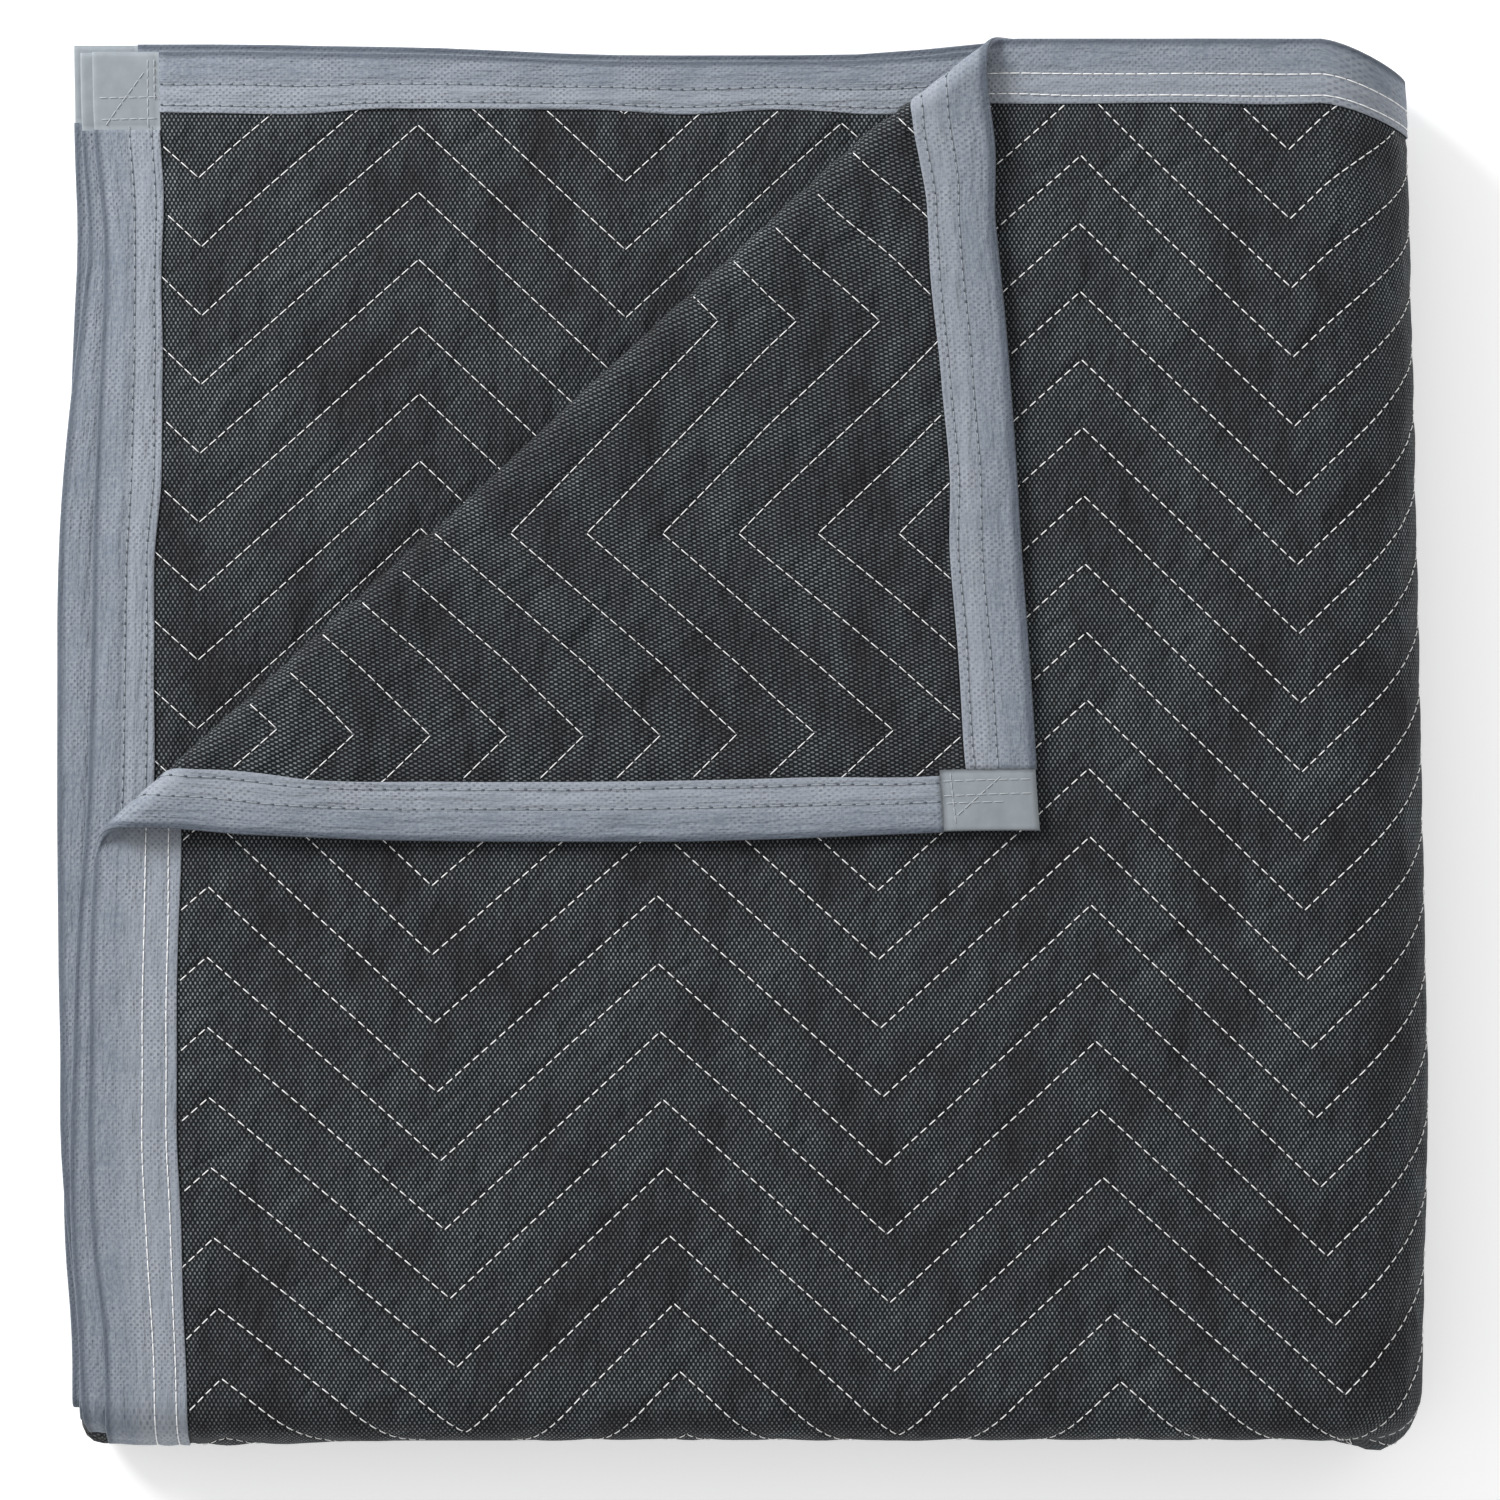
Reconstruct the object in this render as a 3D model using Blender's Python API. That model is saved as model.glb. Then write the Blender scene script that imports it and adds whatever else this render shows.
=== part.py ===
"""A quilted moving pad, folded in quarters twice over, its top corner turned back.

The sheet is drawn flat first. u runs across it, v runs down it, and w stands out of side A.
Four folds then carry every point of every piece to its place: in half down, in half across,
in quarters down and in quarters across. Sixteen layers come of it, and the corner of the top
one is rolled over and laid back. Lengths are in millimetres until a mesh is made.
"""

import math

import bmesh
import bpy
import numpy as np
from mathutils import Vector
from mathutils.geometry import delaunay_2d_cdt

MILLIMETRE = 0.001

# The stack: the height that one layer takes, and half the sheet's thickness in its parts
LAYER = 4.0
HALF_CROWN = 1.6
HALF_SEAM = 1.0
HALF_PLAIN = 1.4
HALF_EDGE = 0.7
STACK_MIDDLE = 8 * LAYER

# The top layer's true middle radius round the fold at its right and round the one at its foot
TOP_RADIUS_ACROSS = 7.5 * LAYER
TOP_RADIUS_DOWN = 3.5 * LAYER

# Slack in a comparison of places, and the shortest share of a seam that is worth a cut
NEAR = 0.01
SHORTEST_SHARE = 0.02

# Where the four folds begin, from the sheet's upper left corner
QUARTER_ACROSS = 427.0
QUARTER_DOWN = 467.4
HALF_ACROSS = 907.0
HALF_DOWN = 954.9

# How far the sheet's far edges lie from its near ones once it is folded in half
RIGHT_EDGE_PROUD = 12.0
LOWER_EDGE_SHORT = 3.0

# Radius at which each fold keeps the sheet's length
BEND_HALF_DOWN = LAYER / 2
BEND_HALF_ACROSS = LAYER
BEND_QUARTER_DOWN = 2 * LAYER
BEND_QUARTER_ACROSS = 4 * LAYER

SHEET_WIDTH = 2 * HALF_ACROSS + math.pi * BEND_HALF_ACROSS + RIGHT_EDGE_PROUD
SHEET_LENGTH = 2 * HALF_DOWN + math.pi * BEND_HALF_DOWN - LOWER_EDGE_SHORT

# Flat steps round each fold
STEPS_HALF_DOWN = 4
STEPS_HALF_ACROSS = 5
STEPS_QUARTER_DOWN = 6
STEPS_QUARTER_ACROSS = 8
STEPS_TURN = 5

# The turned corner: its fold line meets the upper and left edges here, and its tip lands there
TURN_ON_TOP_EDGE = 311.4
TURN_ON_LEFT_EDGE = 281.0
TURN_TIP = (323.0, 271.0)
TURN_RADIUS = 4.5
TURN_LAID = 4.4
TURN_SETTLE = (14.2, 30.0, 55.0, 95.0)

# Binding tape: gap to the cloth, thickness, width on each face, and the corner caps' length
TAPE_GAP = 0.3
TAPE_THICK = 0.7
TAPE_WIDTH = 22.0
CAP_LENGTH = 27.0
TAPE_INSIDE = HALF_EDGE + TAPE_GAP
TAPE_OUTSIDE = TAPE_INSIDE + TAPE_THICK
MARGIN_THIN = 22.6
MARGIN_FULL = 24.6

# The pad's slant: its right side leans out as it goes down, and the lower bundle is proud
LEAN_DOWN = (0.0, 365.0, 467.4)
LEAN_OUT = (-5.5, 2.4, 0.0)
LOBE_PROUD = 4.0
ROLL_RECEDES = 13.0
ROLL_RECEDES_OVER = 120.0

# Edge unevenness fades out this far in from an edge
SLACK_REACH = 90.0

# Left edge: place down the sheet, how far inward the edge is pulled
LEFT_SLACK = (
    (279.0, 0.0),
    (301.0, -1.5),
    (330.0, -2.1),
    (378.0, -1.0),
    (411.0, 0.0),
    (444.0, 1.7),
    (467.4, 2.4),
    (560.0, 0.0),
    (1400.0, 0.0),
    (1449.0, -6.9),
    (1586.0, -7.6),
    (1626.0, -5.5),
    (1648.0, -3.1),
    (1714.0, -1.4),
    (1758.0, -0.7),
    (1810.0, 0.3),
    (1843.0, 0.0),
    (1865.0, -1.5),
    (1886.0, -3.1),
)

# Right edge, which lies third from the top at the left once folded
RIGHT_SLACK = (
    (560.0, 2.0),
    (954.9, 3.0),
    (1400.0, 3.0),
    (1449.0, 5.0),
    (1484.0, 4.8),
    (1538.0, 1.0),
    (1586.0, -1.0),
    (1648.0, -1.6),
    (1725.0, -1.5),
    (1758.0, -0.4),
    (1788.0, 1.7),
    (1821.0, 4.5),
    (1848.0, 6.2),
    (1887.0, 4.5),
)

# Seam columns: where the chevrons turn, the drift of that line near the foot of the pad,
# the place of seam 0 on it, and the distance from one seam to the next
TOP_COLUMNS = (
    (-37.9, 3.0, 95.0, 24.10),
    (38.6, 3.4, 25.0, 24.20),
    (115.0, 10.3, 101.4, 23.69),
    (192.5, 9.3, 36.8, 23.41),
    (268.2, 6.9, 103.4, 23.65),
    (341.5, 12.1, 39.3, 23.47),
    (414.9, 15.5, 108.8, 23.82),
    (487.9, 15.5, 39.9, 23.76),
    (560.9, 15.5, 108.8, 23.76),
)
SECOND_COLUMNS = (
    (-37.5, 0.0, 28.6, 23.70),
    (35.5, 0.0, 94.3, 23.76),
    (111.6, 0.0, 28.6, 23.17),
    (183.5, 0.0, 95.0, 23.41),
    (258.6, 0.0, 27.9, 23.41),
    (333.6, 0.0, 95.0, 23.41),
)
TURNED_COLUMNS = (
    (24.4, 0.0, 143.2, 26.20),
    (96.7, 0.0, 215.5, 26.17),
    (169.7, 0.0, 143.2, 26.24),
    (236.5, 0.0, 220.4, 26.34),
    (303.3, 0.0, 143.2, 26.30),
)
DRIFT_FROM = 300.0
DRIFT_OVER = 170.0

SEAMS_TOP = (-4, 24)
SEAMS_SECOND = (-4, 12)
SEAMS_TURNED = (-8, 5)

# How far under the turned corner's fold the second layer is quilted
SECOND_UNDER = 12.0

# The folded pad's middle, seen from above, as places across and down the top layer
MIDDLE_ACROSS = 223.4
MIDDLE_DOWN = 243.0

CHARCOAL_CLOTH = ("quilted_cloth", (0.034, 0.041, 0.044), 0.92)
TAPE_CLOTH = ("binding_tape", (0.36, 0.41, 0.47), 0.85)
CAP_CLOTH = ("corner_tape", (0.40, 0.44, 0.49), 0.8)


def bend(along, height, line, radius):
    """Fold what lies beyond a line underneath, on a half circle of this middle radius."""
    beyond = along - line
    angle = np.clip(beyond / radius, 0.0, math.pi)
    reach = radius + height
    straight = np.minimum(beyond, 0.0) - np.maximum(beyond - math.pi * radius, 0.0)
    return line + straight + reach * np.sin(angle), reach * np.cos(angle)


def fold_stations(line, radius, steps):
    """Places, along the flat sheet, of the steps round one fold."""
    return [line + math.pi * radius * step / steps for step in range(steps + 1)]


def turn_frame():
    """The turned corner's fold line: its unit normal, its direction and the corner's height."""
    inverse = np.array((1.0 / TURN_ON_TOP_EDGE, 1.0 / TURN_ON_LEFT_EDGE))
    height = 1.0 / np.linalg.norm(inverse)
    normal = -inverse * height
    direction = np.array((-TURN_ON_TOP_EDGE, TURN_ON_LEFT_EDGE))
    return normal, direction / np.linalg.norm(direction), height


def turn_height(u, v):
    """How far a point of the top layer lies beyond the turned corner's fold line."""
    normal, _, height = turn_frame()
    return height + u * normal[0] + v * normal[1]


def turn_slopes():
    """The shear and the stretch that bring the sheet's corner to where its tip lands."""
    normal, direction, height = turn_frame()
    travel = np.array(TURN_TIP) + normal * height
    shear = travel @ direction / height
    stretch = -(travel @ normal) / (height - math.pi * TURN_RADIUS)
    return shear, stretch


def turn_back(u, v, w):
    """Roll the top layer's corner up over its fold line and lay it back, side A down."""
    normal, direction, _ = turn_frame()
    shear, stretch = turn_slopes()
    d = turn_height(u, v)
    angle = np.clip(d / TURN_RADIUS, 0.0, math.pi)
    reach = TURN_RADIUS - w
    past = np.maximum(d - math.pi * TURN_RADIUS, 0.0)
    across = reach * np.sin(angle) - past * stretch
    r = u - d * normal[0] + across * normal[0] + shear * d * direction[0]
    s = v - d * normal[1] + across * normal[1] + shear * d * direction[1]
    settle = np.clip(past / (TURN_SETTLE[-1] - TURN_SETTLE[0]), 0.0, 1.0)
    laid = TURN_LAID + (2 * TURN_RADIUS - TURN_LAID) * (1.0 - settle) ** 2
    rolled = TURN_RADIUS - reach * np.cos(angle)
    return r, s, np.where(past > 0.0, laid - w, rolled)


def table_columns(table):
    return np.array(table).T


def slack(u, v):
    """Pull the left and right edges in or out by their tables, fading into the sheet."""
    left_at, left_by = table_columns(LEFT_SLACK)
    right_at, right_by = table_columns(RIGHT_SLACK)
    near_left = np.clip(1.0 - u / SLACK_REACH, 0.0, 1.0)
    near_right = np.clip(1.0 - (SHEET_WIDTH - u) / SLACK_REACH, 0.0, 1.0)
    pulled = near_left * np.interp(v, left_at, left_by) - near_right * np.interp(v, right_at, right_by)
    return u + pulled


def settle_stack(r, s, z):
    """The folded stack's own unevenness: its leaning side, proud lower bundle and drawn-in roll."""
    ramp = np.clip(r / QUARTER_ACROSS, 0.0, 1.0)
    lean = np.interp(s, LEAN_DOWN, LEAN_OUT) * ramp
    low = np.where(z < STACK_MIDDLE, 1.0, 0.0) * (1.0 - ramp)
    lobe = LOBE_PROUD * low * np.clip(s / QUARTER_DOWN, 0.0, 1.0) ** 4
    on_roll = np.clip((r - QUARTER_ACROSS) / (8 * LAYER), 0.0, 1.0)
    recede = ROLL_RECEDES * on_roll * np.clip(1.0 - s / ROLL_RECEDES_OVER, 0.0, 1.0)
    return r + lean, s + lobe + recede, z


def fold(u, v, w):
    """Carry flat points to the folded pad: across, down and up from its upper left corner."""
    u, v, w = np.broadcast_arrays(np.asarray(u, float), np.asarray(v, float), np.asarray(w, float))
    s, t = bend(v, w, HALF_DOWN, BEND_HALF_DOWN)
    r, t = bend(slack(u, v), t, HALF_ACROSS, BEND_HALF_ACROSS)
    s, t = bend(s, t, QUARTER_DOWN, BEND_QUARTER_DOWN)
    r, z = bend(r, t, QUARTER_ACROSS, BEND_QUARTER_ACROSS)
    turned = (turn_height(u, v) > 0.0) & (u < QUARTER_ACROSS) & (v < QUARTER_DOWN)
    turn_r, turn_s, turn_z = turn_back(u, v, w)
    r = np.where(turned, turn_r, r)
    s = np.where(turned, turn_s, s)
    z = np.where(turned, turn_z + TOP_RADIUS_ACROSS, z)
    r, s, z = settle_stack(r, s, z + STACK_MIDDLE)
    return np.stack((r - MIDDLE_ACROSS, MIDDLE_DOWN - s, z), axis=-1) * MILLIMETRE


def rolled_length(x, line, radius, true_radius):
    """Length measured on a layer that goes round a fold at its own radius."""
    turn = np.clip(x - line, 0.0, math.pi * radius)
    return x + turn * (true_radius / radius - 1.0)


def flat_length(x, line, radius, true_radius):
    """The inverse of rolled_length."""
    turn = np.clip(x - line, 0.0, math.pi * true_radius)
    return x - turn * (1.0 - radius / true_radius)


def column_places(columns, down):
    """Where each column of turning points lies at this distance down, with its drift."""
    table = np.array(columns)
    late = np.clip((np.asarray(down, float) - DRIFT_FROM) / DRIFT_OVER, 0.0, 1.3)
    return table[:, 0].reshape(-1, 1) + table[:, 1].reshape(-1, 1) * late.reshape(1, -1) ** 2


def seam_number(columns, along, down):
    """Which seam passes a point: whole at a seam, and half way between at a crown."""
    table = np.array(columns)
    places = column_places(columns, down)
    index = np.clip((places <= along.reshape(1, -1)).sum(axis=0) - 1, 0, len(table) - 2)
    each = np.arange(along.size)
    share = (along - places[index, each]) / (places[index + 1, each] - places[index, each])
    first = table[index, 2] * (1 - share) + table[index + 1, 2] * share
    pitch = table[index, 3] * (1 - share) + table[index + 1, 3] * share
    return (down - first) / pitch


def seam_lines(columns, lowest, highest):
    """The chevron lines of every seam and every crown, as lists of (along, down)."""
    table = np.array(columns)
    lines = []
    for half in range(2 * lowest, 2 * highest + 1):
        down = table[:, 2] + table[:, 3] * half / 2
        along = np.diagonal(column_places(columns, down))
        lines.append(np.column_stack((along, down)))
    return lines


def split_line(line, axis, value):
    """Add a point wherever a line crosses a value of one coordinate."""
    points = [line[0]]
    for start, end in zip(line[:-1], line[1:]):
        before, after = start[axis] - value, end[axis] - value
        if before * after < 0.0:
            points.append(start + (end - start) * before / (before - after))
        points.append(end)
    return np.array(points)


def clip_segment(start, end, limits):
    """Keep the stretch of a segment where a * x + b * y >= c for each limit."""
    low, high = 0.0, 1.0
    for a, b, c in limits:
        before = a * start[0] + b * start[1] - c
        after = a * end[0] + b * end[1] - c
        if before < 0.0 and after < 0.0:
            return None
        if before < 0.0 or after < 0.0:
            share = before / (before - after)
            low, high = (max(low, share), high) if before < 0.0 else (low, min(high, share))
    if high - low < SHORTEST_SHARE:
        return None
    return start + (end - start) * low, start + (end - start) * high


def top_lines():
    """Seams and crowns of the top layer, with its right and lower rolls, on the flat sheet."""
    normal, _, height = turn_frame()
    limits = (
        (1.0, 0.0, MARGIN_FULL),
        (0.0, 1.0, MARGIN_FULL),
        (-1.0, 0.0, -(QUARTER_ACROSS + math.pi * BEND_QUARTER_ACROSS)),
        (0.0, -1.0, -(QUARTER_DOWN + math.pi * BEND_QUARTER_DOWN)),
        (-normal[0], -normal[1], height),
    )
    for line in seam_lines(TOP_COLUMNS, *SEAMS_TOP):
        for edge in (QUARTER_ACROSS, QUARTER_ACROSS + math.pi * TOP_RADIUS_ACROSS):
            line = split_line(line, 0, edge)
        for edge in (QUARTER_DOWN, QUARTER_DOWN + math.pi * TOP_RADIUS_DOWN):
            line = split_line(line, 1, edge)
        flat_u = flat_length(line[:, 0], QUARTER_ACROSS, BEND_QUARTER_ACROSS, TOP_RADIUS_ACROSS)
        flat_v = flat_length(line[:, 1], QUARTER_DOWN, BEND_QUARTER_DOWN, TOP_RADIUS_DOWN)
        yield np.column_stack((flat_u, flat_v)), limits


def second_down(v):
    """Distance down the second layer, from the sheet's place below its middle fold."""
    return 2 * HALF_DOWN + math.pi * BEND_HALF_DOWN - v


def second_lines():
    """Seams and crowns of the second layer, where the turned corner lays it bare."""
    normal, _, height = turn_frame()
    limits = (
        (1.0, 0.0, MARGIN_FULL),
        (0.0, 1.0, LOWER_EDGE_SHORT + MARGIN_FULL),
        (normal[0], normal[1], -height - SECOND_UNDER),
    )
    for line in seam_lines(SECOND_COLUMNS, *SEAMS_SECOND):
        for start, end in zip(line[:-1], line[1:]):
            kept = clip_segment(start, end, limits)
            if kept is not None:
                kept = np.array(kept)
                yield np.column_stack((kept[:, 0], second_down(kept[:, 1])))


def turned_inverse():
    """The plane map from the laid corner back to the flat sheet: a matrix and an offset."""
    step = TAPE_WIDTH
    corners = np.array(((0.0, 0.0), (step, 0.0), (0.0, step)))
    r, s, _ = turn_back(corners[:, 0], corners[:, 1], 0.0)
    laid = np.column_stack((r, s))
    forward = np.column_stack((laid[1] - laid[0], laid[2] - laid[0])) / step
    back = np.linalg.inv(forward)
    return back, -back @ laid[0]


def turned_lines():
    """Seams and crowns of the laid corner, whose chevrons run the other way."""
    normal, _, height = turn_frame()
    back, offset = turned_inverse()
    limits = (
        (1.0, 0.0, MARGIN_FULL),
        (0.0, 1.0, MARGIN_FULL),
        (normal[0], normal[1], -height + TURN_SETTLE[0]),
    )
    for line in seam_lines(TURNED_COLUMNS, *SEAMS_TURNED):
        yield line[:, ::-1] @ back.T + offset, limits



def half_thickness(u, v):
    """Half the sheet's thickness at flat points: thin margins, sewn seams, full crowns."""
    half = np.full(u.shape, HALF_PLAIN)
    end_across = QUARTER_ACROSS + math.pi * BEND_QUARTER_ACROSS + NEAR
    end_down = QUARTER_DOWN + math.pi * BEND_QUARTER_DOWN + NEAR
    d = turn_height(u, v)
    along = rolled_length(u, QUARTER_ACROSS, BEND_QUARTER_ACROSS, TOP_RADIUS_ACROSS)
    down = rolled_length(v, QUARTER_DOWN, BEND_QUARTER_DOWN, TOP_RADIUS_DOWN)
    top = (u < end_across) & (v < end_down) & (d < NEAR)
    under = second_down(v)
    second = (u < QUARTER_ACROSS) & (under < QUARTER_DOWN) & (turn_height(u, under) > -SECOND_UNDER - NEAR)
    turned = (u < QUARTER_ACROSS) & (v < QUARTER_DOWN) & (d > TURN_SETTLE[0] - NEAR)
    laid_r, laid_s, _ = turn_back(u, v, 0.0)
    zones = (
        (top, seam_number(TOP_COLUMNS, along, down)),
        (second, seam_number(SECOND_COLUMNS, u, under)),
        (turned, seam_number(TURNED_COLUMNS, laid_s, laid_r)),
    )
    for zone, number in zones:
        crown = 1.0 - np.abs(2.0 * (number - np.floor(number)) - 1.0)
        half = np.where(zone, HALF_SEAM + (HALF_CROWN - HALF_SEAM) * crown, half)
    margin = np.minimum(np.minimum(u, SHEET_WIDTH - u), np.minimum(v, SHEET_LENGTH - v))
    return np.where(margin < MARGIN_THIN + NEAR, HALF_EDGE, half)


def resting_half(u, v, half):
    """Side A's half thickness: the lowest layer is filled down to a flat underside."""
    begin = QUARTER_ACROSS + math.pi * BEND_QUARTER_ACROSS
    lowest = (u > begin - NEAR) & (u < HALF_ACROSS + NEAR) & (v < QUARTER_DOWN + NEAR)
    return np.where(lowest & (half > HALF_EDGE), LAYER / 2, half)


def across_stations():
    """Flat places across the sheet of every step of the folds that run down it."""
    quarter = fold_stations(QUARTER_ACROSS, BEND_QUARTER_ACROSS, STEPS_QUARTER_ACROSS)
    half = fold_stations(HALF_ACROSS, BEND_HALF_ACROSS, STEPS_HALF_ACROSS)
    mirror = 2 * HALF_ACROSS + math.pi * BEND_HALF_ACROSS
    return quarter + half + [mirror - place for place in quarter]


def down_stations():
    """Flat places down the sheet of every step of the folds that run across it."""
    quarter = fold_stations(QUARTER_DOWN, BEND_QUARTER_DOWN, STEPS_QUARTER_DOWN)
    half = fold_stations(HALF_DOWN, BEND_HALF_DOWN, STEPS_HALF_DOWN)
    return quarter + half + [second_down(place) for place in quarter]


def lean_stations():
    """Flat places down the sheet where the stack's leaning side changes its slope."""
    twin = 2 * QUARTER_DOWN + math.pi * BEND_QUARTER_DOWN - LEAN_DOWN[1]
    fades = 2 * QUARTER_DOWN + math.pi * BEND_QUARTER_DOWN - ROLL_RECEDES_OVER
    one_face = [ROLL_RECEDES_OVER, LEAN_DOWN[1], twin, fades]
    return one_face + [second_down(place) for place in one_face]


def turn_stations():
    """Heights beyond the fold line of the turned corner's steps and of its settling."""
    steps = [math.pi * TURN_RADIUS * step / STEPS_TURN for step in range(STEPS_TURN)]
    return steps + list(TURN_SETTLE)


def turn_on_edge(d, inward, on_top):
    """Where the line of one height beyond the fold crosses a line inward of an edge."""
    normal, _, height = turn_frame()
    if on_top:
        return (d - height - inward * normal[1]) / normal[0]
    return (d - height - inward * normal[0]) / normal[1]


class Outline:
    """Points and edges that the flat sheet's triangles must keep."""

    def __init__(self):
        self.points = []
        self.edges = []

    def add(self, *points):
        start = len(self.points)
        self.points.extend(Vector((float(x), float(y))) for x, y in points)
        self.edges.extend((i, i + 1) for i in range(start, len(self.points) - 1))


def sheet_outline():
    """Everything that the flat sheet is cut along: edges, folds, margins, seams and crowns."""
    outline = Outline()
    across = across_stations() + [0.0, SHEET_WIDTH]
    down = down_stations() + lean_stations() + [0.0, SHEET_LENGTH]
    for inward in (MARGIN_THIN, MARGIN_FULL):
        across += [inward, SHEET_WIDTH - inward]
        down += [inward, SHEET_LENGTH - inward]
    for place in across:
        outline.add((place, 0.0), (place, SHEET_LENGTH))
    for place in down:
        outline.add((0.0, place), (SHEET_WIDTH, place))
    for d in turn_stations():
        outline.add((turn_on_edge(d, 0.0, True), 0.0), (0.0, turn_on_edge(d, 0.0, False)))
    for table, side in ((LEFT_SLACK, 0.0), (RIGHT_SLACK, SHEET_WIDTH)):
        inner = MARGIN_FULL if side == 0.0 else SHEET_WIDTH - MARGIN_FULL
        for place, _ in table:
            outline.add((side, place), (inner, place))
    for lines in (top_lines(), turned_lines()):
        for line, limits in lines:
            for start, end in zip(line[:-1], line[1:]):
                kept = clip_segment(start, end, limits)
                if kept is not None:
                    outline.add(*kept)
    for kept in second_lines():
        outline.add(*kept)
    return outline


def sheet_mesh():
    """The quilted sheet: one triangulation of the flat sheet, on both its faces, and a rim."""
    outline = sheet_outline()
    points, _, faces, *_ = delaunay_2d_cdt(outline.points, outline.edges, [], 0, 0.0001)
    flat = np.array([(point.x, point.y) for point in points])
    triangles = np.array([face for face in faces if len(face) == 3])
    used = np.unique(triangles)
    renumber = np.zeros(len(flat), dtype=int)
    renumber[used] = np.arange(len(used))
    flat = flat[used]
    triangles = renumber[triangles]
    half = half_thickness(flat[:, 0], flat[:, 1])
    side_a = fold(flat[:, 0], flat[:, 1], resting_half(flat[:, 0], flat[:, 1], half))
    side_b = fold(flat[:, 0], flat[:, 1], -half)
    count = len(flat)
    directed = np.concatenate((triangles[:, (0, 1)], triangles[:, (1, 2)], triangles[:, (2, 0)]))
    known = set(map(tuple, directed.tolist()))
    rim = [(a, b) for a, b in directed.tolist() if (b, a) not in known]
    walls = [(b, a, a + count, b + count) for a, b in rim]
    under = (triangles[:, ::-1] + count).tolist()
    return np.concatenate((side_a, side_b)), triangles.tolist() + under + walls


def tape_profile(width):
    """The folded tape's section: (inward, height), round the outside and back inside."""
    outer = -TAPE_GAP - TAPE_THICK
    return np.array(
        (
            (width, -TAPE_OUTSIDE),
            (outer, -TAPE_OUTSIDE),
            (outer, TAPE_OUTSIDE),
            (width, TAPE_OUTSIDE),
            (width, TAPE_INSIDE),
            (-TAPE_GAP, TAPE_INSIDE),
            (-TAPE_GAP, -TAPE_INSIDE),
            (width, -TAPE_INSIDE),
        )
    )


def edge_to_sheet(edge, along, inward):
    """Turn a place along one edge, and a distance in from it, into the sheet's u and v."""
    if edge == "left":
        return inward, along
    if edge == "right":
        return SHEET_WIDTH - inward, along
    if edge == "top":
        return along, inward
    return along, SHEET_LENGTH - inward


def tape_sections(edge):
    """The tape's sections as (place at the edge, place at the inner side), in order."""
    upright = edge in ("left", "right")
    trim = CAP_LENGTH + TAPE_GAP if upright else TAPE_WIDTH + TAPE_GAP
    length = SHEET_LENGTH if upright else SHEET_WIDTH
    stations = down_stations() + lean_stations() if upright else across_stations()
    if edge == "left":
        stations += [place for place, _ in LEFT_SLACK]
    if edge == "right":
        stations += [place for place, _ in RIGHT_SLACK]
    sections = []
    if edge in ("left", "top"):
        heights = turn_stations()
        for d in heights:
            at_edge = turn_on_edge(d, 0.0, edge == "top")
            sections.append((at_edge, turn_on_edge(d, TAPE_WIDTH, edge == "top")))
        clear_from, clear_to = sections[-1][1] - 2.0, sections[0][0] + 1.0
        stations = [place for place in stations if not clear_from < place < clear_to]
        stations += [clear_from, clear_to]
    stations = [place for place in stations if trim + 0.5 < place < length - trim - 0.5]
    stations += [trim, length - trim]
    sections += [(place, place) for place in stations]
    sections = sorted(sections)
    kept = sections[:1]
    for section in sections[1:]:
        if section[0] - kept[-1][0] > 0.05:
            kept.append(section)
    return kept


def tape_mesh(edge):
    """A binding: the folded tape's section carried along one edge of the sheet."""
    profile = tape_profile(TAPE_WIDTH)
    sections = np.array(tape_sections(edge))
    share = profile[:, 0] / TAPE_WIDTH
    along = sections[:, :1] * (1.0 - share) + sections[:, 1:] * share
    u, v = edge_to_sheet(edge, along, np.broadcast_to(profile[:, 0], along.shape))
    points = fold(u, v, profile[:, 1]).reshape(-1, 3)
    sides = len(profile)
    faces = []
    for row in range(len(sections) - 1):
        for side in range(sides):
            a = row * sides + side
            b = row * sides + (side + 1) % sides
            faces.append((a, b, b + sides, a + sides))
    last = (len(sections) - 1) * sides
    faces.append(tuple(range(sides))[::-1])
    faces.append(tuple(range(last, last + sides)))
    return points, faces


def cap_mesh(right, foot):
    """A corner cap: the folded tape's section run to the corner, its end closed by a wall."""
    profile = tape_profile(TAPE_WIDTH)
    sides = len(profile)
    rows = [CAP_LENGTH, CAP_LENGTH / 2, -TAPE_GAP]
    inward = np.concatenate([profile[:, 0]] * len(rows) + [profile[:4, 0]])
    height = np.concatenate([profile[:, 1]] * len(rows) + [profile[:4, 1]])
    along = np.concatenate([np.full(sides, row) for row in rows] + [np.full(4, -TAPE_GAP - TAPE_THICK)])
    u = SHEET_WIDTH - inward if right else inward
    v = SHEET_LENGTH - along if foot else along
    points = fold(u, v, height)
    faces = []
    for row in range(len(rows) - 1):
        for side in range(sides):
            a = row * sides + side
            b = row * sides + (side + 1) % sides
            faces.append((a, b, b + sides, a + sides))
    inner = (len(rows) - 1) * sides
    end = len(rows) * sides
    faces.append(tuple(range(sides))[::-1])
    for side in range(3):
        faces.append((inner + side, inner + side + 1, end + side + 1, end + side))
    faces.append((end + 3, end + 2, end + 1, end))
    faces.append((inner + 4, inner + 5, inner + 6, inner + 7))
    faces.append((inner + 3, inner + 4, inner + 7, inner, end, end + 3))
    return points, faces


def cloth_material(name, colour, roughness):
    material = bpy.data.materials.get(name) or bpy.data.materials.new(name)
    material.use_nodes = True
    shader = material.node_tree.nodes["Principled BSDF"]
    shader.inputs["Base Color"].default_value = (*colour, 1.0)
    shader.inputs["Roughness"].default_value = roughness
    shader.inputs["Metallic"].default_value = 0.0
    return material


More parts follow.
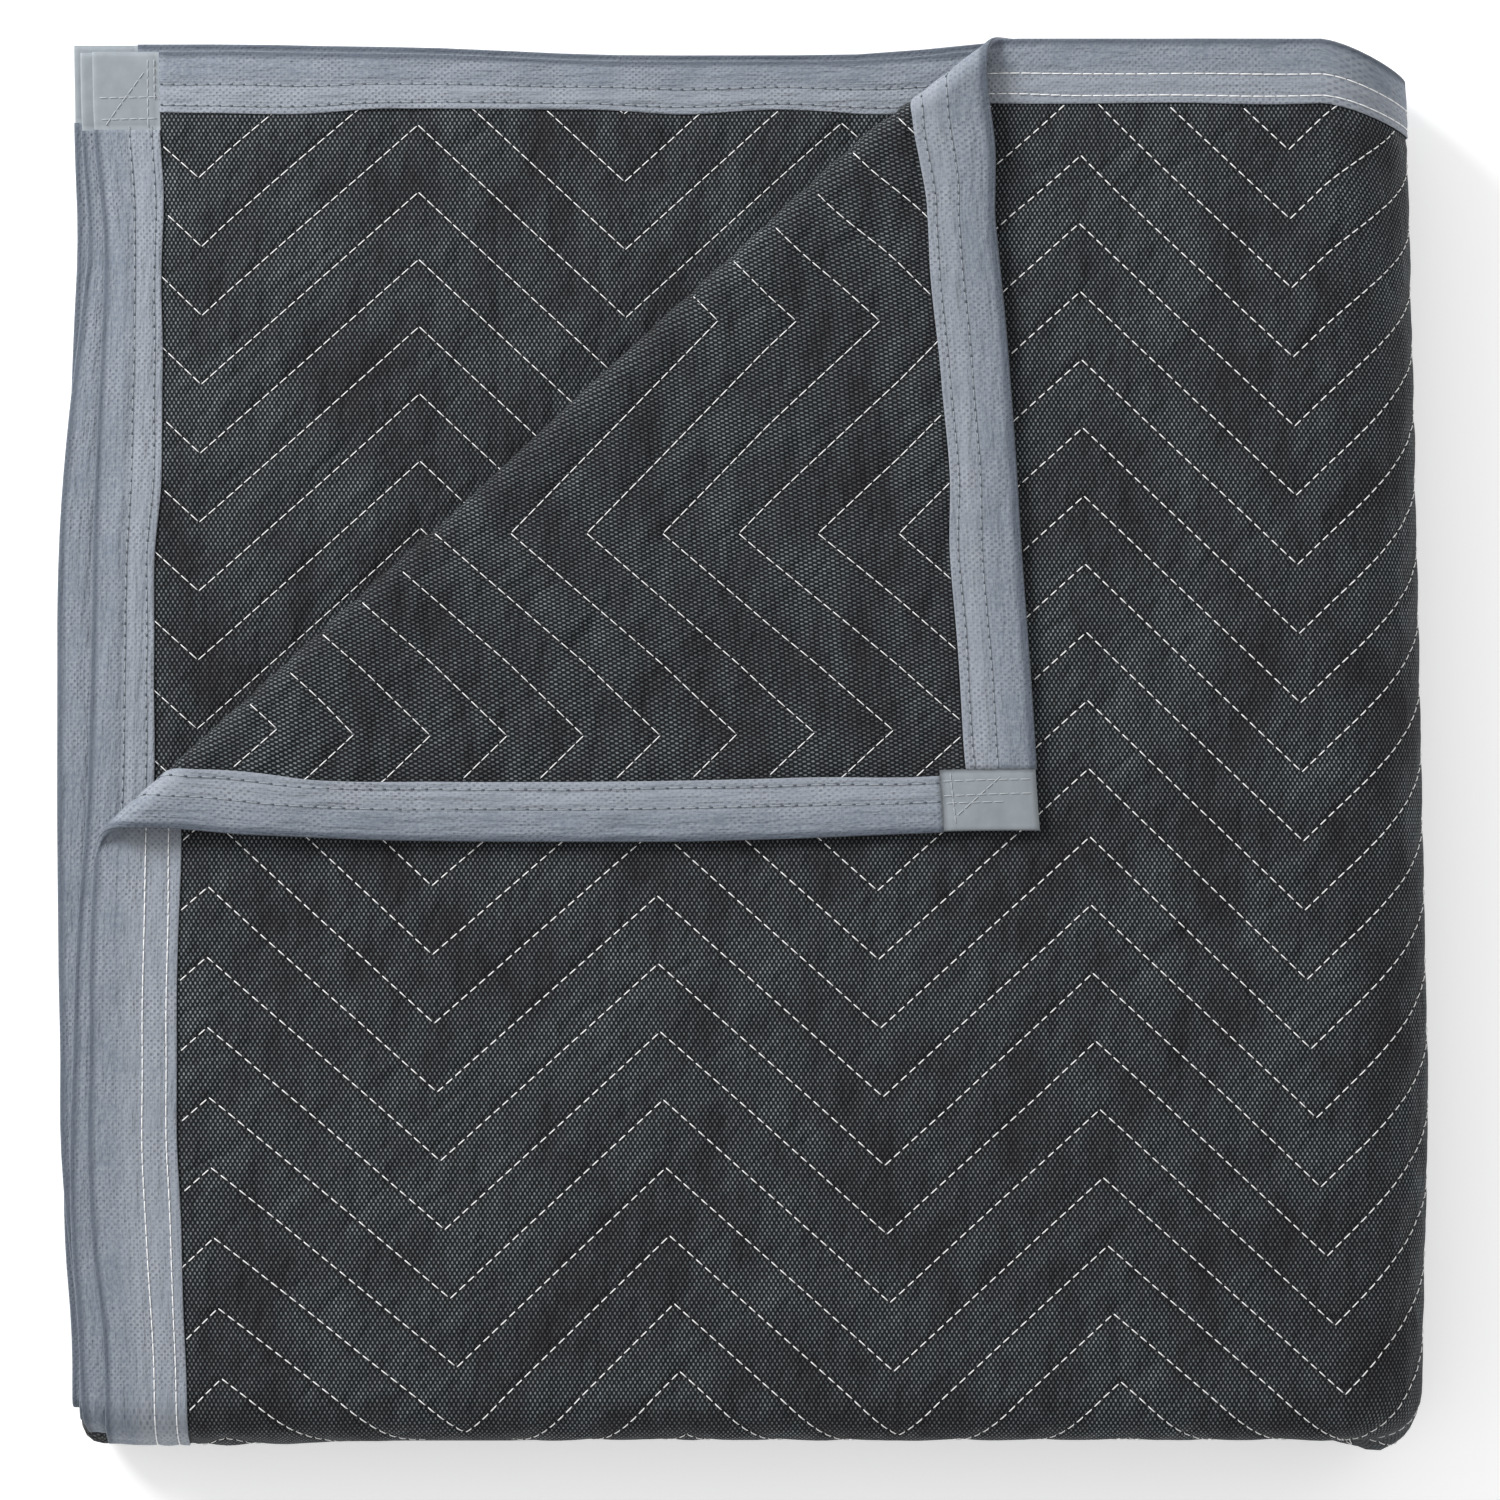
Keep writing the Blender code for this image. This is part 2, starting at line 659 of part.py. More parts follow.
def add_object(name, points, faces, cloth):
    """Make an object of these points and faces, all its faces turned outward."""
    mesh = bpy.data.meshes.new(name)
    mesh.from_pydata(np.asarray(points).tolist(), [], faces)
    mesh.validate()
    shell = bmesh.new()
    shell.from_mesh(mesh)
    bmesh.ops.recalc_face_normals(shell, faces=shell.faces)
    if shell.calc_volume(signed=True) < 0.0:
        bmesh.ops.reverse_faces(shell, faces=shell.faces)
    shell.to_mesh(mesh)
    shell.free()
    mesh.materials.append(cloth_material(*cloth))
    item = bpy.data.objects.new(name, mesh)
    bpy.context.scene.collection.objects.link(item)
    return item


def build_pad():
    for item in list(bpy.data.objects):
        bpy.data.objects.remove(item, do_unlink=True)
    add_object("quilt", *sheet_mesh(), CHARCOAL_CLOTH)
    for edge, name in (
        ("top", "binding_top"),
        ("left", "binding_left"),
        ("bottom", "binding_bottom"),
        ("right", "binding_right"),
    ):
        add_object(name, *tape_mesh(edge), TAPE_CLOTH)
    for right, foot, name in (
        (False, False, "corner_top_left"),
        (False, True, "corner_bottom_left"),
        (True, True, "corner_bottom_right"),
        (True, False, "corner_top_right"),
    ):
        add_object(name, *cap_mesh(right, foot), CAP_CLOTH)


build_pad()
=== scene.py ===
"""Dresses the folded moving pad: fine quilted cloth, bound edges, corner caps and sewing."""

import math
from functools import partial

import bpy
import numpy as np
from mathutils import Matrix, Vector


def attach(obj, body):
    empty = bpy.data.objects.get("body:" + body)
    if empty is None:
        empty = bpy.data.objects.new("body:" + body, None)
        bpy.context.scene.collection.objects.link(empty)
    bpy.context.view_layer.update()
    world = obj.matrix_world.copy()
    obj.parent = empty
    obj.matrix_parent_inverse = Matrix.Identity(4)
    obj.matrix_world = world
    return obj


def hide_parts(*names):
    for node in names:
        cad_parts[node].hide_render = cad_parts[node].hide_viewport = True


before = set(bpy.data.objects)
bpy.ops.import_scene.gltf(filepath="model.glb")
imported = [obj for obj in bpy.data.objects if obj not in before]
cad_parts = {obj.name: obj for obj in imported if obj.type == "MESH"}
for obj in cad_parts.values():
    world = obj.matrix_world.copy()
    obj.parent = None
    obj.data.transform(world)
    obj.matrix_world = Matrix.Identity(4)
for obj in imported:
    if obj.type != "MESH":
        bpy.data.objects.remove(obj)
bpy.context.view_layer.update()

bl_info = {
    "name": "Folded moving pad",
    "version": (1, 0, 0),
    "blender": (4, 5, 0),
    "location": "3D View > Sidebar > Moving Pad",
    "description": "Quilted cloth, binding and sewing of a folded moving pad",
    "category": "Object",
}

MILLIMETRE = 0.001

# The stack of sixteen layers, in millimetres as all sizes of the folds are
LAYER = 4.0
STACK_MIDDLE = 8 * LAYER
TOP_RADIUS_ACROSS = 7.5 * LAYER
TOP_RADIUS_DOWN = 3.5 * LAYER

# Where the four folds begin and end on the flat sheet, and the radius that keeps its length
QUARTER_ACROSS = 427.0
QUARTER_DOWN = 467.4
HALF_ACROSS = 907.0
HALF_DOWN = 954.9
BEND_HALF_DOWN = LAYER / 2
BEND_HALF_ACROSS = LAYER
BEND_QUARTER_DOWN = 2 * LAYER
BEND_QUARTER_ACROSS = 4 * LAYER
RIGHT_EDGE_PROUD = 12.0
LOWER_EDGE_SHORT = 3.0
ACROSS_END = QUARTER_ACROSS + math.pi * BEND_QUARTER_ACROSS
DOWN_END = QUARTER_DOWN + math.pi * BEND_QUARTER_DOWN
HALF_ACROSS_END = HALF_ACROSS + math.pi * BEND_HALF_ACROSS
HALF_DOWN_END = HALF_DOWN + math.pi * BEND_HALF_DOWN
SHEET_WIDTH = HALF_ACROSS_END + HALF_ACROSS + RIGHT_EDGE_PROUD
SHEET_LENGTH = HALF_DOWN_END + HALF_DOWN - LOWER_EDGE_SHORT

# The two rolls that show: where each begins, its middle radius and the outer cloth's own radius
ROLL_ACROSS = (QUARTER_ACROSS, BEND_QUARTER_ACROSS, TOP_RADIUS_ACROSS)
ROLL_DOWN = (QUARTER_DOWN, BEND_QUARTER_DOWN, TOP_RADIUS_DOWN)

# The turned corner: where its fold line meets the edges, where its tip lands, how it settles
TURN_ON_TOP_EDGE = 311.4
TURN_ON_LEFT_EDGE = 281.0
TURN_TIP = (323.0, 271.0)
TURN_RADIUS = 4.5
TURN_LAID = 4.4
TURN_SETTLES_OVER = 80.8
TURN_HALF_ROUND = math.pi * TURN_RADIUS / 2
TURN_CLEAR = 4.0

# Half the sheet's thickness: at its bound edge, where nothing is sewn, and at most. The margin
# under the tape rises to it over this width
HALF_EDGE = 0.5
HALF_PLAIN = 1.4
HALF_MOST = 1.95
MARGIN_RISE = 2.5

# Binding tape and corner caps
EDGES = ("top", "left", "bottom", "right")
CORNERS = ("top_left", "bottom_left", "bottom_right", "top_right")
TAPE_GAP = 0.25
TAPE_HALF = 1.7
TAPE_THIN = 0.7
TAPE_RIM = 1.25
CAP_ACROSS = 22.4
CAP_DOWN = 27.0
CAP_CLEAR = 0.2

# How far the tape reaches in: its faces, the wide face at the left, the unevenness and its seeds
TAPE_FACES = {"left": 21.4, "right": 21.4, "top": 20.9, "bottom": 20.9}
TAPE_WIDE = 28.6
TAPE_UNEVEN = 1.2
TAPE_SEEDS = {"left": 11, "right": 12, "top": 13, "bottom": 14}
TAPE_NARROWS = 1.8
TAPE_NARROW_TO = (330.0, -20.0)

# Gathers of the tape at the corner's turn, and the ridge down the lower left strip
GATHER_PITCH = 6.3
GATHERS_AT = (319.0, 13.0)
RIDGE_REACH = 1.5
RIDGE_FROM = (1420.0, 60.0)

# The twin rows of stitches as shares of the tape's face, and on the wide face at the left
ROWS_PLAIN = (0.52, 0.87)
ROWS_WIDE = (0.594, 0.874)

# The stack's slant and unevenness: pairs are (start, run) for ramp(), or (middle, reach) for hump()
LEAN_DOWN = (0.0, 365.0, 467.4)
LEAN_OUT = (-5.5, 2.4, 0.0)
LOBE_PROUD = 4.0
ROLL_RECEDES = 13.0
ROLL_FADES = (120.0, -120.0)
LUMP_PROUD = 6.5
LUMP_ACROSS = (444.0, 17.0)
LUMP_BELOW = (STACK_MIDDLE, -12.0)
LUMP_DOWN = (380.0, 100.0)
LIP_PROUD = 2.6
LIP_ACROSS = (40.0, 60.0)
LIP_BELOW = (50.0, -6.0)
LIP_ABOVE = (34.0, 4.0)
LIP_DOWN = (455.0, 12.0)
TIP_MOVES = 7.0
TIP_ACROSS = (306.0, 38.0)
TIP_FADES = (60.0, -60.0)
SLACK_REACH = 90.0
SLACK_ROUNDING = 9.0

# Swells of the whole stack: height, skew, stretch down, size of a swell, seed
SWELLS = ((1.3, 0.0, 1.0, 120.0, 3), (0.5, 0.0, 1.0, 45.0, 4), (0.6, 0.2, 0.4, 16.0, 5))
SWELL_MOST = 1.2

# Left edge: place down the sheet, how far inward the edge is pulled
LEFT_SLACK = (
    (279.0, 0.0), (301.0, -1.5), (330.0, -2.1), (378.0, -1.0), (411.0, 0.0), (444.0, 1.7),
    (467.4, 2.4), (560.0, 0.0), (1400.0, 0.0), (1449.0, -6.9), (1586.0, -7.6), (1626.0, -5.5),
    (1648.0, -3.1), (1714.0, -1.4), (1758.0, -0.7), (1810.0, 0.3), (1843.0, 0.0),
    (1865.0, -1.5), (1886.0, -3.1),
)

# Right edge, which lies third from the top at the left once folded
RIGHT_SLACK = (
    (560.0, 2.0), (954.9, 3.0), (1400.0, 3.0), (1449.0, 5.0), (1484.0, 4.8), (1538.0, 1.0),
    (1586.0, -1.0), (1648.0, -1.6), (1725.0, -1.5), (1758.0, -0.4), (1788.0, 1.7),
    (1821.0, 4.5), (1848.0, 6.2), (1887.0, 4.5),
)

# Seam columns: where the chevrons turn, the drift of that line near the pad's foot, the place
# of seam 0 on it, and the distance from one seam to the next
TOP_COLUMNS = (
    (-37.9, 3.0, 95.0, 24.10), (38.6, 3.4, 25.0, 24.20), (115.0, 10.3, 101.4, 23.69),
    (192.5, 9.3, 36.8, 23.41), (268.2, 6.9, 103.4, 23.65), (341.5, 12.1, 39.3, 23.47),
    (414.9, 15.5, 108.8, 23.82),
    *((487.9 + 73.0 * step, 15.5, (39.9, 108.8)[step % 2], 23.76) for step in range(8)),
)
SECOND_COLUMNS = (
    (-37.5, 0.0, 28.6, 23.70), (35.5, 0.0, 94.3, 23.76), (111.6, 0.0, 28.6, 23.17),
    (183.5, 0.0, 95.0, 23.41), (258.6, 0.0, 27.9, 23.41), (333.6, 0.0, 95.0, 23.41),
    (408.6, 0.0, 27.9, 23.41), (483.6, 0.0, 95.0, 23.41),
)
TURNED_COLUMNS = (
    (24.4, 0.0, 143.2, 26.20), (96.7, 0.0, 215.5, 26.17), (169.7, 0.0, 143.2, 26.24),
    (236.5, 0.0, 220.4, 26.34), (303.3, 0.0, 143.2, 26.30),
)
DRIFT_FROM = 300.0
DRIFT_OVER = 170.0
DRIFT_MOST = 1.3
SEAMS_TOP = range(-5, 26)
SEAMS_SECOND = range(-4, 14)
SEAMS_TURNED = range(-8, 6)

# As the pad lies: how far the upper and left outlines sink in, by place across or down
TOP_SINKS = (
    (0.0, 1.0), (53.0, 1.0), (84.0, 1.8), (115.0, 2.1), (146.0, 3.5), (177.0, 4.8), (239.0, 4.8),
    (270.0, 4.4), (290.0, 2.0), (306.0, 0.0), (400.0, 0.0),
)
LEFT_SINKS = (
    (0.0, 1.5), (34.0, 2.1), (68.0, 3.4), (103.0, 1.7), (137.0, 0.6), (171.0, 0.0), (344.0, 0.0),
    (378.0, -1.7), (413.0, -1.4), (447.0, 1.4), (490.0, 1.4),
)
TOP_FADES = (24.0, -24.0)
LEFT_FADES = (45.0, -45.0)

# How far the turned corner's bound edges sit out and down, and where that fades in
CORNER_OUT = (
    (0.0, 3.0), (37.0, 3.9), (99.0, 4.5), (141.0, 3.8), (161.0, 3.1), (182.0, 2.5), (224.0, 1.7),
    (258.0, 0.6), (280.0, 0.3),
)
CORNER_DIPS = (
    (10.0, 0.0), (35.0, 1.6), (97.0, 4.1), (139.0, 4.4), (200.0, 4.2), (242.0, 2.9), (283.0, 0.9),
    (305.0, 0.2),
)
CORNER_FREE = (math.pi * TURN_RADIUS, 26.0)
CORNER_ACROSS = (232.0, 42.0)
CORNER_DOWN = (214.0, 36.0)

MIDDLE_ACROSS = 223.4
MIDDLE_DOWN = 243.0

# The camera: the photo's width at the top of the pad, and its centre on the folded pad
PHOTO_WIDTH = 516.4
PHOTO_CENTRE = (224.8, 244.1)
LENS = 200.0
SENSOR = 36.0

# The stage, in metres: half the floor's side, how far it lies below the pad, and the lights as
# name, place, size and power
FLOOR_REACH = 6.0
FLOOR_BELOW = 0.0005
LIGHTS = (
    ("light_top", (-1.35, 1.25, 1.15), 0.85, 45.0),
    ("light_right", (1.7, 1.1, 1.2), 1.0, 3.0),
)

# Short names of the nodes used most
MATH, MAP, MIX = "ShaderNodeMath", "ShaderNodeMapRange", "ShaderNodeMix"

# Properties that are lengths, and colours
LENGTH = partial(bpy.props.FloatProperty, subtype="DISTANCE", unit="LENGTH")
COLOUR = partial(bpy.props.FloatVectorProperty, subtype="COLOR", size=4)


def ramp(x, start, run):
    """A straight rise from 0 at start to 1 at the end of the run, which may be negative."""
    return np.clip((x - start) / run, 0.0, 1.0)


def eased(x):
    """A share from 0 to 1 with soft ends: three times its square less twice its cube."""
    return x * x * (3.0 - 2.0 * x)


def hump(x, middle, reach):
    """A bell: e to the minus square of the distance from the middle, in reaches."""
    return np.exp(-((x - middle) / reach) ** 2)


def bend(along, height, line, radius):
    """Fold what lies beyond a line underneath, on a half circle of this middle radius."""
    beyond = along - line
    angle = np.clip(beyond / radius, 0.0, math.pi)
    reach = radius + height
    straight = np.minimum(beyond, 0.0) - np.maximum(beyond - math.pi * radius, 0.0)
    return line + straight + reach * np.sin(angle), reach * np.cos(angle)


def turn_frame():
    """The turned corner's fold line: its unit normal, its direction and the corner's height."""
    inverse = np.array((1.0 / TURN_ON_TOP_EDGE, 1.0 / TURN_ON_LEFT_EDGE))
    height = 1.0 / np.linalg.norm(inverse)
    direction = np.array((-TURN_ON_TOP_EDGE, TURN_ON_LEFT_EDGE))
    return -inverse * height, direction / np.linalg.norm(direction), height


def turn_height(u, v):
    """How far a point of the top layer lies beyond the turned corner's fold line."""
    normal, _, height = turn_frame()
    return height + u * normal[0] + v * normal[1]


def turn_back(u, v, w):
    """Roll the corner up over its fold line on a half circle, then lay it back, side A down."""
    normal, direction, height = turn_frame()
    travel = np.array(TURN_TIP) + normal * height
    shear = travel @ direction / height
    stretch = -(travel @ normal) / (height - math.pi * TURN_RADIUS)
    d = turn_height(u, v)
    angle = np.clip(d / TURN_RADIUS, 0.0, math.pi)
    reach = TURN_RADIUS - w
    past = np.maximum(d - math.pi * TURN_RADIUS, 0.0)
    across = reach * np.sin(angle) - past * stretch
    r = u - d * normal[0] + across * normal[0] + shear * d * direction[0]
    s = v - d * normal[1] + across * normal[1] + shear * d * direction[1]
    laid = TURN_LAID + (2 * TURN_RADIUS - TURN_LAID) * (1.0 - ramp(past, 0.0, TURN_SETTLES_OVER)) ** 2
    return r, s, np.where(past > 0.0, laid - w, TURN_RADIUS - reach * np.cos(angle))


def rounded_table(at, table):
    """A table read with its corners rounded: the mean of three readings side by side."""
    places, values = np.array(table).T
    steps = (-SLACK_ROUNDING, 0.0, SLACK_ROUNDING)
    return sum(np.interp(at + step, places, values) for step in steps) / len(steps)


def ease_corner(u, v, r, s):
    """Draw the laid corner's bound edges out and down by their tables, fading out at its fold."""
    free = eased(ramp(turn_height(u, v), *CORNER_FREE))
    r = r + free * rounded_table(s, CORNER_OUT) * ramp(r, *CORNER_ACROSS)
    return r, s + free * rounded_table(r, CORNER_DIPS) * ramp(s, *CORNER_DOWN)


def slack(u, v):
    """Pull the left and right edges in or out by their tables, fading into the sheet."""
    left = ramp(u, SLACK_REACH, -SLACK_REACH) * rounded_table(v, LEFT_SLACK)
    return u + left - ramp(u, SHEET_WIDTH - SLACK_REACH, SLACK_REACH) * rounded_table(v, RIGHT_SLACK)


def soft_noise(x, y, cell, seed):
    """Smooth uneven values from -1 to 1: seeded random heights on a square net, eased between."""
    net = 64
    heights = np.random.default_rng(seed).uniform(-1.0, 1.0, (net, net))
    gx, gy = np.asarray(x, float) / cell + 8.0, np.asarray(y, float) / cell + 8.0
    ix, iy = np.floor(gx).astype(int), np.floor(gy).astype(int)
    fx, fy = eased(gx - ix), eased(gy - iy)
    ix, iy, jx, jy = ix % net, iy % net, (ix + 1) % net, (iy + 1) % net
    low = heights[ix, iy] * (1.0 - fx) + heights[jx, iy] * fx
    high = heights[ix, jy] * (1.0 - fx) + heights[jx, jy] * fx
    return low * (1.0 - fy) + high * fy


def settle_stack(r, s, z):
    """The stack's leaning side, proud lower bundle, drawn-in roll and outlines, and soft swells."""
    across = ramp(r, 0.0, QUARTER_ACROSS)
    lobe = LOBE_PROUD * (z < STACK_MIDDLE) * (1.0 - across) * ramp(s, 0.0, QUARTER_DOWN) ** 4
    lump = LUMP_PROUD * ramp(z, *LUMP_BELOW) * hump(r, *LUMP_ACROSS) * ramp(s, *LUMP_DOWN) ** 2
    lip = LIP_PROUD * ramp(z, *LIP_BELOW) * ramp(z, *LIP_ABOVE) * ramp(s, *LIP_DOWN)
    lip = lip * hump(np.maximum(r, LIP_ACROSS[0]), *LIP_ACROSS)
    out = np.interp(s, LEAN_DOWN, LEAN_OUT) * across + 0.5 * lump
    out = out + TIP_MOVES * hump(r, *TIP_ACROSS) * ramp(s, *TIP_FADES)
    out = out + rounded_table(s, LEFT_SINKS) * ramp(r, *LEFT_FADES)
    recede = ROLL_RECEDES * ramp(r, QUARTER_ACROSS, STACK_MIDDLE) ** 1.4 * ramp(s, *ROLL_FADES)
    recede = recede + rounded_table(r, TOP_SINKS) * ramp(s, *TOP_FADES)
    swell = sum(
        rise * soft_noise(r + skew * s, stretch * s, cell, seed)
        for rise, skew, stretch, cell, seed in SWELLS
    )
    higher = z + swell * np.clip(z / (2 * STACK_MIDDLE), 0.0, SWELL_MOST)
    return r + out, s + lobe + lump + lip + recede, higher


def fold(u, v, w):
    """Carry flat points to the folded pad, in metres in the part's own frame."""
    u, v, w = np.broadcast_arrays(np.asarray(u, float), np.asarray(v, float), np.asarray(w, float))
    s, t = bend(v, w, HALF_DOWN, BEND_HALF_DOWN)
    r, t = bend(slack(u, v), t, HALF_ACROSS, BEND_HALF_ACROSS)
    s, t = bend(s, t, QUARTER_DOWN, BEND_QUARTER_DOWN)
    r, z = bend(r, t, QUARTER_ACROSS, BEND_QUARTER_ACROSS)
    turned = (turn_height(u, v) > 0.0) & (u < QUARTER_ACROSS) & (v < QUARTER_DOWN)
    turn_r, turn_s, turn_z = turn_back(u, v, w)
    turn_r, turn_s = ease_corner(u, v, turn_r, turn_s)
    r = np.where(turned, turn_r, r)
    s = np.where(turned, turn_s, s)
    z = np.where(turned, turn_z + TOP_RADIUS_ACROSS, z)
    r, s, z = settle_stack(r, s, z + STACK_MIDDLE)
    return np.stack((r - MIDDLE_ACROSS, MIDDLE_DOWN - s, np.maximum(z, 0.0)), axis=-1) * MILLIMETRE


def rolled_length(x, line, radius, true_radius):
    """Length measured on a layer that goes round a fold at its own radius."""
    turn = np.clip(x - line, 0.0, math.pi * radius)
    return x + turn * (true_radius / radius - 1.0)


def flat_length(x, line, radius, true_radius):
    """The inverse of rolled_length."""
    turn = np.clip(x - line, 0.0, math.pi * true_radius)
    return x - turn * (1.0 - radius / true_radius)


def cloth_lengths(u, v):
    """True lengths along the outer cloth: across and down, for weave and seams."""
    return rolled_length(u, *ROLL_ACROSS), rolled_length(v, *ROLL_DOWN)


def second_down(v):
    """Distance down the second layer, from the sheet's place below its middle fold."""
    return HALF_DOWN_END + HALF_DOWN - v


def column_places(columns, down):
    """Where each column of turning points lies at this distance down, with its drift."""
    table = np.array(columns)
    late = np.clip((np.asarray(down, float) - DRIFT_FROM) / DRIFT_OVER, 0.0, DRIFT_MOST)
    return table[:, 0].reshape(-1, 1) + table[:, 1].reshape(-1, 1) * late.reshape(1, -1) ** 2


def seam_number(columns, along, down):
    """Which seam passes a point: whole at a seam, and half way between at a crown."""
    table = np.array(columns)
    places = column_places(columns, down)
    index = np.clip((places <= along.reshape(1, -1)).sum(axis=0) - 1, 0, len(table) - 2)
    each = np.arange(along.size)
    share = (along - places[index, each]) / (places[index + 1, each] - places[index, each])
    first = table[index, 2] * (1 - share) + table[index + 1, 2] * share
    pitch = table[index, 3] * (1 - share) + table[index + 1, 3] * share
    return (down - first) / pitch


def seam_line(columns, number):
    """One seam's chevrons as an array of (along, down)."""
    table = np.array(columns)
    down = table[:, 2] + table[:, 3] * number
    return np.column_stack((np.diagonal(column_places(columns, down)), down))


def turned_inverse():
    """The plane map from the laid corner back to the flat sheet: a matrix and an offset."""
    step = 20.0
    corners = np.array(((0.0, 0.0), (step, 0.0), (0.0, step)))
    r, s, _ = turn_back(corners[:, 0], corners[:, 1], 0.0)
    laid = np.column_stack((r, s))
    back = np.linalg.inv(np.column_stack((laid[1] - laid[0], laid[2] - laid[0])) / step)
    return back, -back @ laid[0]


def sheet_seams(u, v):
    """Seam number over the whole sheet: the laid corner and second layer have their own."""
    number = seam_number(TOP_COLUMNS, *cloth_lengths(u, v))
    laid_r, laid_s, _ = turn_back(u, v, 0.0)
    turned = (u < QUARTER_ACROSS) & (v < QUARTER_DOWN) & (turn_height(u, v) > TURN_HALF_ROUND)
    number = np.where(turned, seam_number(TURNED_COLUMNS, laid_s, laid_r), number)
    return np.where(v > HALF_DOWN, seam_number(SECOND_COLUMNS, u, second_down(v)), number)


def face_margin(u, v, side_a):
    """From 0 in the thin margin under the tape, all round the sheet, to 1 past it."""
    upright = np.minimum(u, SHEET_WIDTH - u) - tape_width("left", v, side_a)
    level = np.minimum(v, SHEET_LENGTH - v) - tape_width("top", u, side_a)
    return ramp(np.minimum(upright, level), 0.0, MARGIN_RISE)


def tape_width(edge, along, side_a):
    """How far the tape reaches in on one face: uneven along the edge by hand sewing."""
    uneven = TAPE_UNEVEN * soft_noise(along, 0.0 * along, 34.0, TAPE_SEEDS[edge] + (10 if side_a else 0))
    if edge == "left" and side_a:
        return TAPE_WIDE + uneven * 0.6
    if edge == "top" and not side_a:
        uneven = uneven - TAPE_NARROWS * ramp(along, *TAPE_NARROW_TO)
    return TAPE_FACES[edge] + uneven


def half_thickness(u, v, side_a, properties):
    """Half the thickness on one face: pillows between the seams, sewn flat at the margins."""
    crown, seam = properties.crown / MILLIMETRE, properties.seam / MILLIMETRE
    number = sheet_seams(u, v)
    pillow = np.sin(math.pi * (number - np.floor(number))) ** 0.6
    along, down = cloth_lengths(u, v)
    rumple = 0.30 * soft_noise(along, down, 17.0, 21) + 0.22 * soft_noise(along, down, 9.0, 22)
    quilted = seam + (crown - seam) * pillow * (1.0 + 0.12 * rumple) + 0.5 * rumple * pillow
    seen = (u < ACROSS_END + 60.0) & (v < DOWN_END + 20.0)
    seen |= (u < QUARTER_ACROSS) & (second_down(v) < 330.0)
    seen |= (u < HALF_ACROSS) & (v > QUARTER_DOWN - 1.0) & (v < DOWN_END + 1.0)
    quilted = np.where(seen, np.minimum(quilted, HALF_MOST), HALF_PLAIN)
    lowest = (u > ACROSS_END - 0.5) & (u < HALF_ACROSS + 0.5) & (v < QUARTER_DOWN + 0.5)
    quilted = np.where(lowest & side_a, LAYER / 2, quilted)
    return HALF_EDGE + (quilted - HALF_EDGE) * face_margin(u, v, side_a)


def stretches(*spans):
    """Grid places along one side of the sheet, from spans of (start, end, count)."""
    places = [np.linspace(start, end, count, endpoint=False) for start, end, count in spans]
    return np.concatenate(places + [np.array([spans[-1][1]])])


def sheet_grid():
    """Grid lines of the sheet, close where it shows; the corner's cells follow its fold line."""
    steps = 88
    mirror = HALF_ACROSS_END + HALF_ACROSS
    across = stretches(
        (0.0, TURN_ON_TOP_EDGE, steps),
        (TURN_ON_TOP_EDGE, QUARTER_ACROSS, 28),
        (QUARTER_ACROSS, ACROSS_END, 18),
        (ACROSS_END, HALF_ACROSS, 12),
        (HALF_ACROSS, HALF_ACROSS_END, 7),
        (HALF_ACROSS_END, mirror - ACROSS_END, 10),
        (mirror - ACROSS_END, mirror - QUARTER_ACROSS, 9),
        (mirror - QUARTER_ACROSS, SHEET_WIDTH - 30.0, 10),
        (SHEET_WIDTH - 30.0, SHEET_WIDTH, 6),
    )
    down = stretches(
        (0.0, TURN_ON_LEFT_EDGE, steps),
        (TURN_ON_LEFT_EDGE, QUARTER_DOWN, 46),
        (QUARTER_DOWN, DOWN_END, 14),
        (DOWN_END, HALF_DOWN, 12),
        (HALF_DOWN, HALF_DOWN_END, 6),
        (HALF_DOWN_END, second_down(DOWN_END), 12),
        (second_down(DOWN_END), second_down(QUARTER_DOWN), 8),
        (second_down(QUARTER_DOWN), second_down(300.0), 8),
        (second_down(300.0), SHEET_LENGTH, 74),
    )
    return across, down


def grid_quads(rows, columns):
    """Quads of a grid of points numbered row by row."""
    base = (np.arange(rows - 1).reshape(-1, 1) * columns + np.arange(columns - 1)).ravel()
    return np.column_stack((base, base + 1, base + columns + 1, base + columns))


def rim_quads(loop, offset):
    """Quads between a closed loop of points and its twin, whose numbers lie this far on."""
    following = np.roll(loop, -1)
    return np.column_stack((loop, following, following + offset, loop + offset))


def tube_quads(rings, sides):
    """Quads round a tube of points numbered ring by ring."""
    ring, first = np.arange(sides), np.arange(rings - 1).reshape(-1, 1) * sides
    here, beside = (first + ring).ravel(), (first + (ring + 1) % sides).ravel()
    return np.column_stack((here, beside, beside + sides, here + sides))


